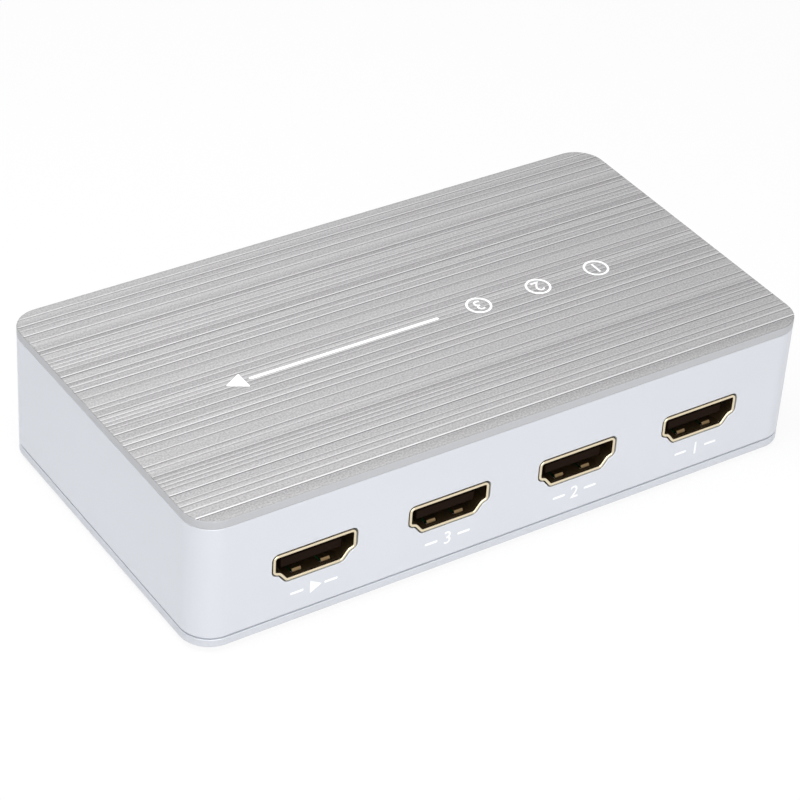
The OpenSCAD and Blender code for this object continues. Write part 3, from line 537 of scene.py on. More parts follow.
def rounded_slab(name, low, high, radius, upper_edge, lower_edge):
    """A slab with round upright corners and soft upper and lower edges."""
    slab = add_block(name, low, high)
    with editing(slab):
        soften(slab, is_upright, radius, CORNER_STEPS)
        for place, soft in ((high.z, upper_edge), (low.z, lower_edge)):
            soften(slab, edges_at(2, place), soft)
    return slab


def push(distance, axis):
    """In edit mode, extrudes what is selected along an axis."""
    value = [0, 0, 0]
    value[axis] = distance
    bpy.ops.mesh.extrude_region_move(TRANSFORM_OT_translate={"value": value})


def middle_of(node):
    """Middle of a node's box."""
    low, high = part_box(node)
    return (low + high) / 2


def corner_places(node, reach):
    """Places in x and y of a node's four like parts, each of which reaches out by a given radius."""
    low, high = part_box(node)
    return [(sx * (high.x - reach), sy * (high.y - reach)) for sx, sy in CORNER_SIGNS]


def socket_centre(name, sizes):
    """Middle of a socket's mouth."""
    low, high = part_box(f"{name}_socket_shell")
    return Vector(((low.x + high.x) / 2, low.y, high.z - sizes.shell - sizes.mouth_height / 2))


def outward(start, end):
    """Outward direction of an edge of an anticlockwise outline."""
    along = (end - start).normalized()
    return Vector((along.y, -along.x))


def corner_arc(before, corner, after, radius):
    """Points of an arc that rounds a corner of an outline."""
    back = (before - corner).normalized()
    ahead = (after - corner).normalized()
    half = back.angle(ahead) / 2
    centre = corner + (back + ahead).normalized() * radius / math.sin(half)
    start = corner + back * radius / math.tan(half) - centre
    turn = (corner - before).cross(after - corner)
    sweep = math.copysign(math.pi - 2 * half, turn)
    return [centre + Matrix.Rotation(sweep * k / ARC_STEPS, 2) @ start for k in range(ARC_STEPS + 1)]


def mouth_outline(sizes, grow):
    """Outline of a socket's mouth, as places across and up from its middle, grown on every side."""
    top = sizes.mouth_height / 2
    half = sizes.mouth_width / 2
    ear = top - sizes.side_height
    right = [
        Vector((sizes.floor_width / 2, -top)),
        Vector((half - sizes.ear_width, ear - sizes.ear_drop)),
        Vector((half, ear)),
        Vector((half, top)),
    ]
    corners = right + [Vector((-p.x, p.y)) for p in reversed(right)]
    count = len(corners)
    grown = []
    for k, corner in enumerate(corners):
        first = outward(corners[k - 1], corner)
        second = outward(corner, corners[(k + 1) % count])
        grown.append(corner + grow * (first + second) / (1 + first.dot(second)))
    outline = []
    for k, corner in enumerate(grown):
        before = grown[k - 1]
        after = grown[(k + 1) % count]
        hollow = (corner - before).cross(after - corner) < 0
        radius = sizes.waist_radius - grow if hollow else sizes.corner_radius + grow
        outline += corner_arc(before, corner, after, radius)
    return outline


def mouth_bar(name, sizes, centre, grow, front, length):
    """A solid bar with the outline of a socket's mouth, grown on every side, from front to back."""
    outline = mouth_outline(sizes, grow)
    bar = add_new(name, bpy.ops.mesh.primitive_circle_add, vertices=len(outline), fill_type="NGON")
    with editing(bar):
        mesh = bmesh.from_edit_mesh(bar.data)
        for vert, place in zip(mesh.verts, outline):
            vert.co = (centre.x + place.x, front, centre.z + place.y)
        bmesh.update_edit_mesh(bar.data)
        bpy.ops.mesh.select_all(action="SELECT")
        push(length, 1)
        bpy.ops.mesh.select_all(action="SELECT")
        bpy.ops.mesh.fill_holes(sides=0)
        bpy.ops.mesh.normals_make_consistent(inside=False)
    return bar


# Finishes

# Light and dark tone, metallic, roughness of dark and light spots, relief, cells a metre of grain and clouds
Finish = namedtuple(
    "Finish", "light dark metallic dark_rough light_rough relief grain cloud", defaults=(None, None)
)


def feed(tree, node, inputs):
    """Links sockets to a node's inputs, or sets plain values on them, by name or by number."""
    for key, value in inputs.items():
        if isinstance(value, bpy.types.NodeSocket):
            tree.links.new(value, node.inputs[key])
        else:
            node.inputs[key].default_value = value


def add_node(tree, kind, inputs=None, **settings):
    """A shader node with its settings, and its inputs linked or set."""
    node = tree.nodes.new(f"ShaderNode{kind}")
    for name, value in settings.items():
        setattr(node, name, value)
    feed(tree, node, inputs or {})
    return node


def mapped(tree, value, limits, low=0, high=1):
    """A value moved from its limits to a low and a high end."""
    ends = {"From Min": limits[0], "From Max": limits[1], "To Min": low, "To Max": high}
    return add_node(tree, "MapRange", {"Value": value, **ends}).outputs["Result"]


def opaque(colour):
    """A plain colour with its alpha. A socket stays as it is."""
    return colour if isinstance(colour, bpy.types.NodeSocket) else (*colour, 1)


def mix_values(tree, factor, first, second):
    """A value mixed from two by a factor."""
    return add_node(tree, "Mix", dict(zip(MIX_VALUES, (factor, first, second)))).outputs[0]


def mix_colours(tree, factor, first, second):
    """A colour mixed from two by a factor, each a socket or a plain colour."""
    inputs = dict(zip(MIX_COLOURS, (factor, opaque(first), opaque(second))))
    return add_node(tree, "Mix", inputs, data_type="RGBA").outputs[2]


def shade_of(colour, share):
    """A colour made darker, to a share of itself."""
    return tuple(c * share for c in colour)


def new_group(name, inputs, outputs):
    """A node group with named sockets, what it is given, and its output node."""
    group = bpy.data.node_groups.new(name, "ShaderNodeTree")
    for way, sockets in (("INPUT", inputs), ("OUTPUT", outputs)):
        for socket, kind in sockets.items():
            group.interface.new_socket(name=socket, in_out=way, socket_type=f"NodeSocket{kind}")
    return group, group.nodes.new("NodeGroupInput").outputs, group.nodes.new("NodeGroupOutput")


def satin_group():
    """Node group: fine grain under broad clouds, as a colour, a roughness and a height."""
    tones = {"Light": "Color", "Dark": "Color"}
    values = {name: "Float" for name in ("Dark Rough", "Light Rough", "Grain Scale", "Cloud Scale")}
    group, given, result = new_group(
        "satin_surface",
        {"Vector": "Vector", **tones, **values},
        {"Color": "Color", "Roughness": "Float", "Height": "Float"},
    )
    noises = []
    for scale, detail in (("Grain Scale", GRAIN_DETAIL), ("Cloud Scale", CLOUD_DETAIL)):
        inputs = {"Vector": given["Vector"], "Scale": given[scale], "Detail": detail}
        noises.append(add_node(group, "TexNoise", inputs).outputs["Fac"])
    grain, cloud = noises
    blend = mix_values(group, SATIN_GRAIN, cloud, grain)
    feed(group, result, {
        "Color": mix_colours(group, blend, given["Dark"], given["Light"]),
        "Roughness": mapped(group, blend, NOISE_LIMITS, given["Dark Rough"], given["Light Rough"]),
        "Height": grain,
    })


def lines_group():
    """Node group: uneven lines along X, as a value that changes across them."""
    group, given, result = new_group(
        "drawn_lines", {"Vector": "Vector", "Along": "Float", "Across": "Float"}, {"Line": "Float"}
    )
    across = given["Across"]
    cells = add_node(group, "CombineXYZ", {"X": given["Along"], "Y": across, "Z": across})
    place = add_node(group, "VectorMath", {0: given["Vector"], 1: cells.outputs[0]}, operation="MULTIPLY")
    noise = add_node(group, "TexNoise", {"Vector": place.outputs[0], "Scale": 1, "Detail": LINE_DETAIL})
    feed(group, result, {"Line": mapped(group, noise.outputs["Fac"], NOISE_LIMITS)})


def finish_of(slot):
    """The material made here for a slot, apart from the frame's plain one of that name."""
    return bpy.data.materials[f"{slot}_finish"]


def new_material(slot):
    """A new material for a slot: its nodes, its shader and its object coordinates."""
    material = bpy.data.materials.new(f"{slot}_finish")
    material.use_nodes = True
    tree = material.node_tree
    return tree, tree.nodes["Principled BSDF"], add_node(tree, "TexCoord").outputs["Object"]


def place_group(tree, name, inputs):
    """What a node group puts out in a material, with its inputs there."""
    return add_node(tree, "Group", inputs, node_tree=bpy.data.node_groups[name]).outputs


def satin_surface(tree, vector, finish):
    """The satin surface with a finish's values."""
    return place_group(tree, "satin_surface", {
        "Vector": vector,
        "Light": opaque(finish.light),
        "Dark": opaque(finish.dark),
        "Dark Rough": finish.dark_rough,
        "Light Rough": finish.light_rough,
        "Grain Scale": finish.grain,
        "Cloud Scale": finish.cloud,
    })


def line_value(tree, vector, cells):
    """The value of drawn lines, with their noise cells per metre along and across them."""
    along, across = cells
    return place_group(tree, "drawn_lines", {"Vector": vector, "Along": along, "Across": across})["Line"]


def dress(tree, shader, finish, colour, roughness, height):
    """Gives a shader its colour and roughness, a finish's metallic, and its small relief from a height."""
    bump = add_node(tree, "Bump", {"Strength": 1, "Distance": finish.relief, "Height": height})
    feed(tree, shader, {
        "Base Color": colour,
        "Roughness": roughness,
        "Metallic": finish.metallic,
        "Normal": bump.outputs["Normal"],
    })


def satin_material(slot, finish):
    """A material of the satin surface, as its nodes and its shader."""
    tree, shader, vector = new_material(slot)
    surface = satin_surface(tree, vector, finish)
    dress(tree, shader, finish, surface["Color"], surface["Roughness"], surface["Height"])
    return tree, shader


def gold_material(slot, finish, sockets):
    """Plated sheet: its gold at the lip, rougher and darkened with painted shade within the mouth."""
    tree, shader, vector = new_material(slot)
    surface = satin_surface(tree, vector, finish)
    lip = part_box(f"{SOCKETS[0]}_socket_shell")[0].y + sockets.painted_shade_depth
    place = add_node(tree, "SeparateXYZ", {0: vector})
    depth = mapped(tree, place.outputs["Y"], (lip, lip + sockets.painted_shade_depth))
    # Painted shade: the gold darkens with depth into the mouth
    colour = mix_colours(tree, depth, surface["Color"], sockets.inside[:])
    roughness = mix_values(tree, depth, surface["Roughness"], INSIDE_ROUGHNESS)
    dress(tree, shader, finish, colour, roughness, surface["Height"])


def lined_material(slot, top):
    """Lined metal: long bands and hairlines under a fine grain, painted shade and light on grooves and rim, a
    plain edge.
    """
    tree, shader, vector = new_material(slot)
    level = add_node(tree, "VectorMath", {0: vector, 1: (1, 1, 0)}, operation="MULTIPLY").outputs[0]
    bands, hairs, grain = (line_value(tree, level, cells) for cells in (TOP_BANDS, TOP_HAIRS, TOP_GRAIN))
    lines = mix_values(tree, GRAIN_SHARE, mix_values(tree, HAIR_SHARE, bands, hairs), grain)
    light = top.colour[:]
    colour = mix_colours(tree, lines, shade_of(light, LINE_SHADE), light)
    wall = add_node(tree, "Attribute", attribute_name=PAINTED_LIGHT_AND_EDGE).outputs["Fac"]
    plain = mapped(tree, wall, (1, PLAIN_EDGE))
    # Painted shade in the grooves and on the soft rim, painted light on walls facing the front, and the plain
    # edge
    for strength, tone in (
        (mapped(tree, wall, (0, -1)), top.painted_groove_shade),
        (mapped(tree, wall, (0, 1)), top.painted_crest_light),
        (plain, top.edge_colour),
    ):
        colour = mix_colours(tree, strength, colour, tone[:])
    roughness = mapped(tree, lines, (0, 1), LINED.dark_rough, LINED.light_rough)
    dress(tree, shader, LINED, colour, roughness, mix_values(tree, plain, lines, 0))


def drawn_material(slot, finish):
    """Drawn or rolled metal: fine lines along X."""
    tree, shader, vector = new_material(slot)
    lines = line_value(tree, vector, SHEET_LINES)
    colour = mix_colours(tree, lines, finish.dark, finish.light)
    roughness = mapped(tree, lines, (0, 1), finish.dark_rough, finish.light_rough)
    dress(tree, shader, finish, colour, roughness, lines)


def board_material(slot, finish):
    """Solder resist over copper: the tracks show as paler bands with soft edges."""
    tree, shader, vector = new_material(slot)
    surface = satin_surface(tree, vector, finish)
    cells = {"Vector": vector, "Scale": TRACK_CELLS}
    tracks = add_node(tree, "TexVoronoi", cells, feature="DISTANCE_TO_EDGE")
    edge = mapped(tree, tracks.outputs["Distance"], TRACK_EDGE)
    pale = tuple(c * TRACK_GAIN + TRACK_LIFT for c in finish.light)
    colour = mix_colours(tree, edge, pale, surface["Color"])
    dress(tree, shader, finish, colour, surface["Roughness"], edge)


def lens_material(slot, finish):
    """Tinted clear resin with a polished skin."""
    tree, shader = satin_material(slot, finish)
    feed(tree, shader, CLEAR_RESIN)


def toned(finish, colour, share):
    """A finish in a colour, with a share of it as its dark tone."""
    return finish._replace(light=colour, dark=shade_of(colour, share))


# Finishes that take their tones from the settings
BLASTED = Finish(None, None, 0.5, 0.42, 0.52, 0.000004, 7000, 45)
LINED = Finish(None, None, 0.4, 0.64, 0.52, 0.00007)
PLATED = Finish(None, None, 1, 0.16, 0.28, 0.000002, 5000, 260)
PRINTED = Finish(None, None, 0, 0.5, 0.65, 0.000003, 6000, 220)
# The base plate's colour as a share of the case's, and each dark tone as a share of its light one
BASE_TONE = 0.93
CASE_SHADE = 0.94
BASE_SHADE = 0.93
GOLD_SHADE = 0.86
INK_SHADE = 0.95
# Satin, drawn and clear finishes with tones of their own, by slot
SATIN_FINISHES = {
    "adhesive": Finish(linear(240, 236, 220), linear(228, 222, 204), 0, 0.5, 0.7, 0.00001, 3000, 90),
    "screw_steel": Finish(linear(176, 178, 182), linear(140, 143, 148), 1, 0.28, 0.42, 0.000004, 6000, 200),
    "foot_rubber": Finish(linear(44, 44, 46), linear(28, 28, 30), 0, 0.75, 0.95, 0.00003, 2600, 150),
    "tongue_plastic": Finish(linear(32, 19, 11), linear(22, 13, 8), 0, 0.55, 0.75, 0.000006, 4000, 160),
    "contact_gold": Finish(linear(238, 208, 140), linear(214, 178, 104), 1, 0.18, 0.3, 0.000002, 5000, 300),
    "button_metal": Finish(linear(214, 217, 221), linear(196, 199, 204), 0.9, 0.3, 0.42, 0.000004, 5200, 120),
    "switch_plastic": Finish(linear(58, 58, 58), linear(40, 40, 41), 0, 0.5, 0.68, 0.000008, 4200, 180),
    "receiver_dark": Finish(linear(38, 36, 40), linear(24, 22, 26), 0, 0.2, 0.32, 0.000003, 3000, 120),
    "jack_plastic": Finish(linear(40, 40, 42), linear(25, 25, 27), 0, 0.42, 0.6, 0.000008, 4000, 150),
    "jack_metal": Finish(linear(214, 212, 206), linear(184, 182, 176), 1, 0.18, 0.32, 0.000003, 5000, 260),
    "chip_black": Finish(linear(52, 52, 54), linear(34, 34, 36), 0, 0.5, 0.7, 0.000012, 5200, 240),
    "inductor_grey": Finish(linear(92, 92, 96), linear(66, 66, 70), 0, 0.6, 0.8, 0.00002, 3600, 200),
    "can_foot": Finish(linear(54, 54, 56), linear(36, 36, 38), 0, 0.5, 0.66, 0.000008, 4200, 180),
    "passive_tan": Finish(linear(190, 168, 136), linear(160, 136, 104), 0, 0.4, 0.6, 0.000006, 4600, 300),
}
DRAWN_FINISHES = {
    "switch_steel": Finish(linear(216, 216, 214), linear(186, 186, 184), 1, 0.24, 0.36, 0.000003),
    "tinned_leads": Finish(linear(224, 224, 220), linear(196, 196, 192), 1, 0.22, 0.38, 0.000003),
    "sink_metal": Finish(linear(122, 123, 126), linear(96, 97, 100), 0.9, 0.38, 0.5, 0.000006),
    "can_metal": Finish(linear(226, 226, 226), linear(198, 198, 198), 1, 0.24, 0.36, 0.000004),
}
LENS_FINISHES = {
    "lamp_red": Finish(linear(214, 52, 40), linear(176, 30, 24), 0, 0.12, 0.2, 0.000002, 2400, 300),
    "lamp_blue": Finish(linear(86, 148, 226), linear(52, 112, 196), 0, 0.12, 0.2, 0.000002, 2400, 300),
    "window_dark": Finish(linear(58, 16, 20), linear(36, 8, 12), 0, 0.06, 0.12, 0.000001, 2000, 120),
}
BOARD_FINISH = Finish(linear(28, 108, 62), linear(18, 88, 48), 0, 0.3, 0.45, 0.00002, 4000, 140)


def make_finishes(scene):
    """A material for each of the record's slots, and two for the print."""
    satin_group()
    lines_group()
    case = scene.switch_box_case.colour[:]
    sockets = scene.switch_box_sockets
    marks = scene.switch_box_marks
    satin = dict(SATIN_FINISHES)
    satin["case_metal"] = toned(BLASTED, case, CASE_SHADE)
    satin["base_metal"] = toned(BLASTED, shade_of(case, BASE_TONE), BASE_SHADE)
    satin["print_white"] = toned(PRINTED, marks.colour[:], INK_SHADE)
    satin["print_grey"] = toned(PRINTED, marks.panel_colour[:], INK_SHADE)
    for make, finishes in (
        (satin_material, satin),
        (drawn_material, DRAWN_FINISHES),
        (lens_material, LENS_FINISHES),
    ):
        for slot, finish in finishes.items():
            make(slot, finish)
    tongue = finish_of("tongue_plastic").node_tree.nodes["Principled BSDF"]
    tongue.inputs["Specular IOR Level"].default_value = TONGUE_GLOSS
    board_material("board_green", BOARD_FINISH)
    gold_material("socket_gold", toned(PLATED, sockets.gold[:], GOLD_SHADE), sockets)
    lined_material("top_metal", scene.switch_box_top)


class SWITCHBOX_OT_finishes(bpy.types.Operator):
    """Make the materials and give each node of the frame the one of its slot"""

    bl_idname = "switch_box.finishes"
    bl_label = "Finishes"

    def execute(self, context):
        make_finishes(context.scene)
        for part in frame["record"]["subparts"]:
            mesh = frame["nodes"][part["node"]].data
            mesh.materials.clear()
            mesh.materials.append(finish_of(part["material_slot"]))
        return {"FINISHED"}


class SWITCHBOX_OT_case(bpy.types.Operator):
    """Model the case: a soft-edged tub with its bosses, its posts and the openings in its walls"""

    bl_idname = "switch_box.case"
    bl_label = "Case"

    def execute(self, context):
        sizes = context.scene.switch_box_case
        low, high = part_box("housing")
        case = rounded_slab("case_shell", low, high, sizes.corner_radius, sizes.soft_edge, sizes.soft_edge)
        roof = high.z - sizes.roof
        with editing(case):
            pick(case, "FACE", faces_along(2, -1, low.z))
            bpy.ops.mesh.inset(thickness=sizes.wall - sizes.soft_edge)
            push(roof - low.z, 2)
            pick(case, "FACE", faces_along(2, 1, high.z))
            bpy.ops.mesh.inset(thickness=sizes.film_inset - sizes.soft_edge)
            push(-sizes.film, 2)
        self.add_bosses_and_posts(context, case, low, high, roof)
        self.open_walls(context, case, low, high)
        self.soften_rims(context, case, low, high)
        hand_over(case, "enclosure", "case_metal", "housing")
        return {"FINISHED"}

    def add_bosses_and_posts(self, context, case, low, high, roof):
        """Bosses in the corners and posts under the roof, with their screw holes."""
        sizes = context.scene.switch_box_case
        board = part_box("circuit_board")[1].z
        inset = sizes.corner_radius
        bosses = [(sx * (high.x - inset), sy * (high.y - inset)) for sx, sy in CORNER_SIGNS]
        posts = corner_places("board_screws", context.scene.switch_box_base.board_head_radius)
        root = roof + sizes.roof / 4
        post_hole_top = board + sizes.post_hole_depth
        columns = (
            (bosses, low.z, sizes.boss_radius, sizes.boss_hole, sizes.boss_hole_top),
            (posts, board, sizes.post_radius, sizes.post_hole, post_hole_top),
        )
        for places, foot, radius, _, _ in columns:
            for x, y in places:
                build_on(case, add_bar("column", (x, y, foot), 2, root - foot, radius))
        for places, foot, _, hole, top in columns:
            start = foot - OVERSHOOT
            for x, y in places:
                cut_away(case, add_bar("hole", (x, y, start), 2, top - start, hole))

    def open_walls(self, context, case, low, high):
        """Openings for the sockets, button, lamps, window and jack."""
        sizes = context.scene.switch_box_case
        sockets = context.scene.switch_box_sockets
        panel = context.scene.switch_box_panel
        depth = sizes.wall + 2 * OVERSHOOT
        for name in SOCKETS:
            centre = socket_centre(name, sockets) + Vector((0, 0, sockets.wall_lift))
            grow = sockets.shell + sockets.wall_gap
            cut_away(case, mouth_bar("opening", sockets, centre, grow, low.y - OVERSHOOT, depth))
        holes = [("select_button", panel.cap_radius + panel.cap_gap)]
        holes.append(("infrared_window", panel.window_radius + sizes.hole_gap))
        holes += [(lamp, panel.lamp_radius + sizes.hole_gap) for lamp in LAMPS]
        for node, radius in holes:
            middle = middle_of(node)
            start = (middle.x, high.y - sizes.wall - OVERSHOOT, middle.z)
            cut_away(case, add_bar("opening", start, 1, depth, radius))
        pin = middle_of("jack_centre_pin")
        start = (high.x - sizes.wall - OVERSHOOT, pin.y, pin.z)
        cut_away(case, add_bar("opening", start, 0, depth, panel.nose_radius + sizes.hole_gap))

    def soften_rims(self, context, case, low, high):
        """Small rounding where the openings meet the outside of the walls."""
        sizes = context.scene.switch_box_case
        floor = low.z + sizes.wall
        roof = high.z - sizes.roof
        for axis, place in ((1, low.y), (1, high.y), (0, high.x)):
            with editing(case):
                soften(
                    case,
                    lambda edge: lies_at(edge, axis, place)
                    and is_sharp(edge)
                    and all(floor < vert.co.z < roof for vert in edge.verts),
                    sizes.rim_edge,
                )


class SWITCHBOX_OT_top(bpy.types.Operator):
    """Model the top plate: a soft-edged plate with grooves cut along it"""

    bl_idname = "switch_box.top"
    bl_label = "Top plate"

    def execute(self, context):
        sizes = context.scene.switch_box_top
        case = context.scene.switch_box_case
        low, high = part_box("top_plate")
        plate = rounded_slab("lined_top", low, high, case.corner_radius, sizes.soft_edge, case.soft_edge)
        grooves = self.groove_places(sizes, high.y)
        with editing(plate):
            for place in grooves:
                for step, _ in GROOVE_CUTS:
                    bpy.ops.mesh.select_all(action="SELECT")
                    across = (0, place + step * sizes.groove_width / 2, 0)
                    bpy.ops.mesh.bisect(plane_co=across, plane_no=(0, 1, 0))
            for step, share in GROOVE_CUTS[1:-1]:
                cuts = [place + step * sizes.groove_width / 2 for place in grooves]
                pick(
                    plate,
                    "VERT",
                    lambda vert: near(vert.co.z, high.z) and any(near(vert.co.y, cut) for cut in cuts),
                )
                bpy.ops.transform.translate(value=(0, 0, -sizes.groove_depth * share))
        self.note_painted_light(plate, grooves, sizes.groove_width / 2)
        hand_over(plate, "enclosure", "top_metal", "top_plate")
        return {"FINISHED"}

    def note_painted_light(self, plate, grooves, reach):
        """Keeps for each face of the rim and the grooves how much painted light or shade it gets, and marks
        the plain edge.
        """
        note = plate.data.attributes.new(PAINTED_LIGHT_AND_EDGE, "FLOAT", "FACE")
        tones = self.painted_light_strengths(grooves)
        for face, value in zip(plate.data.polygons, note.data):
            if abs(face.normal.z) < UPRIGHT:
                value.value = PLAIN_EDGE
            elif 0 < face.normal.z < FLAT_NORMAL:
                # Painted shade on the soft rim, which dulls the highlight it would catch
                value.value = RIM_PAINTED_SHADE
                for place, tone in zip(grooves, tones):
                    away = abs(face.center.y - place)
                    if away < reach:
                        # Lower half of a groove: painted shade; upper half of a wall facing the front:
                        # painted light
                        lit = tone if face.normal.y < 0 else 0
                        value.value = -tone if away < reach / 2 else lit

    def painted_light_strengths(self, grooves):
        """How strongly each groove's painted shade and light show: less where its neighbour is close."""
        tones = []
        for count, place in enumerate(grooves):
            gap = min(abs(place - other) for other in grooves if other != place)
            tones.append(PAINTED_GROOVE_STRENGTHS[count % len(PAINTED_GROOVE_STRENGTHS)] * min(1, gap / OPEN_STEP))
        return tones

    def groove_places(self, sizes, half):
        """Places of the grooves across the plate."""
        steps = [step * MILLIMETRE for step in GROOVE_STEPS]
        period = sum(steps)
        repeats = math.ceil(2 * half / period)
        places = []
        for repeat in range(-repeats, repeats + 1):
            place = sizes.groove_start + repeat * period
            for step in steps:
                if abs(place) < half - sizes.groove_width:
                    places.append(place)
                place += step
        return places


class SWITCHBOX_OT_base(bpy.types.Operator):
    """Model the base plate: a stepped plate with sunk screw holes"""

    bl_idname = "switch_box.base"
    bl_label = "Base plate"

    def execute(self, context):
        case = context.scene.switch_box_case
        sizes = context.scene.switch_box_base
        low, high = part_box("base_plate")
        step = Vector((high.x, high.y, high.z - case.seam_height))
        plate = rounded_slab("closing_plate", low, step, case.corner_radius, case.soft_edge, case.soft_edge)
        with editing(plate):
            pick(plate, "FACE", faces_along(2, 1, step.z))
            bpy.ops.mesh.inset(thickness=case.seam_depth - case.soft_edge)
            push(case.seam_height, 2)
        for x, y in corner_places("base_screws", sizes.head_radius):
            start = (x, y, low.z - OVERSHOOT)
            length = high.z - low.z + 2 * OVERSHOOT
            cut_away(plate, add_bar("hole", start, 2, length, sizes.shank_radius + case.hole_gap))
            slope = (sizes.head_radius - sizes.shank_radius) / sizes.head_height
            cone = add_bar(
                "sink",
                start,
                2,
                sizes.head_height + OVERSHOOT,
                sizes.head_radius + case.hole_gap + slope * OVERSHOOT,
                sizes.shank_radius + case.hole_gap,
            )
            cut_away(plate, cone)
        hand_over(plate, "enclosure", "base_metal", "base_plate")
        return {"FINISHED"}


class SWITCHBOX_OT_screws(bpy.types.Operator):
    """Model the base screws: sunk heads with a cross recess, and bevelled shanks"""

    bl_idname = "switch_box.screws"
    bl_label = "Base screws"

    def execute(self, context):
        sizes = context.scene.switch_box_base
        low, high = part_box("base_screws")
        places = corner_places("base_screws", sizes.head_radius)
        x, y = places[0]
        screw = add_bar(
            "base_screw", (x, y, low.z), 2, sizes.head_height, sizes.head_radius, sizes.shank_radius
        )
        with editing(screw):
            pick(screw, "FACE", faces_along(2, 1, low.z + sizes.head_height))
            push(high.z - low.z - sizes.head_height, 2)
            soften(screw, edges_at(2, high.z), sizes.tip_edge, 1)
        long = sizes.recess_length / 2
        short = sizes.recess_width / 2
        for reach_x, reach_y in ((long, short), (short, long)):
            slot = add_block(
                "recess",
                (x - reach_x, y - reach_y, low.z - OVERSHOOT),
                (x + reach_x, y + reach_y, low.z + sizes.recess_depth),
            )
            with editing(slot):
                pick(slot, "FACE", faces_along(2, 1, low.z + sizes.recess_depth))
                bpy.ops.mesh.inset(thickness=short / 2)
            cut_away(screw, slot)
        screws = set_out(screw, "base_screw_set", places)
        hand_over(screws, "enclosure", "screw_steel", "base_screws")
        return {"FINISHED"}


class SWITCHBOX_OT_feet(bpy.types.Operator):
    """Model the rubber feet: round pads with a soft lower edge and a shallow dish"""

    bl_idname = "switch_box.feet"
    bl_label = "Rubber feet"

    def execute(self, context):
        sizes = context.scene.switch_box_base
        low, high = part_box("rubber_feet")
        places = corner_places("rubber_feet", sizes.foot_radius)
        x, y = places[0]
        foot = add_bar("foot", (x, y, low.z), 2, high.z - low.z, sizes.foot_radius)
        with editing(foot):
            soften(foot, edges_at(2, low.z), sizes.foot_edge)
            pick(foot, "FACE", faces_along(2, -1, low.z))
            bpy.ops.mesh.inset(thickness=sizes.foot_rim)
            bpy.ops.mesh.inset(thickness=sizes.foot_edge, depth=-sizes.foot_dish)
        feet = set_out(foot, "foot_set", places)
        hand_over(feet, "enclosure", "foot_rubber", "rubber_feet")
        return {"FINISHED"}


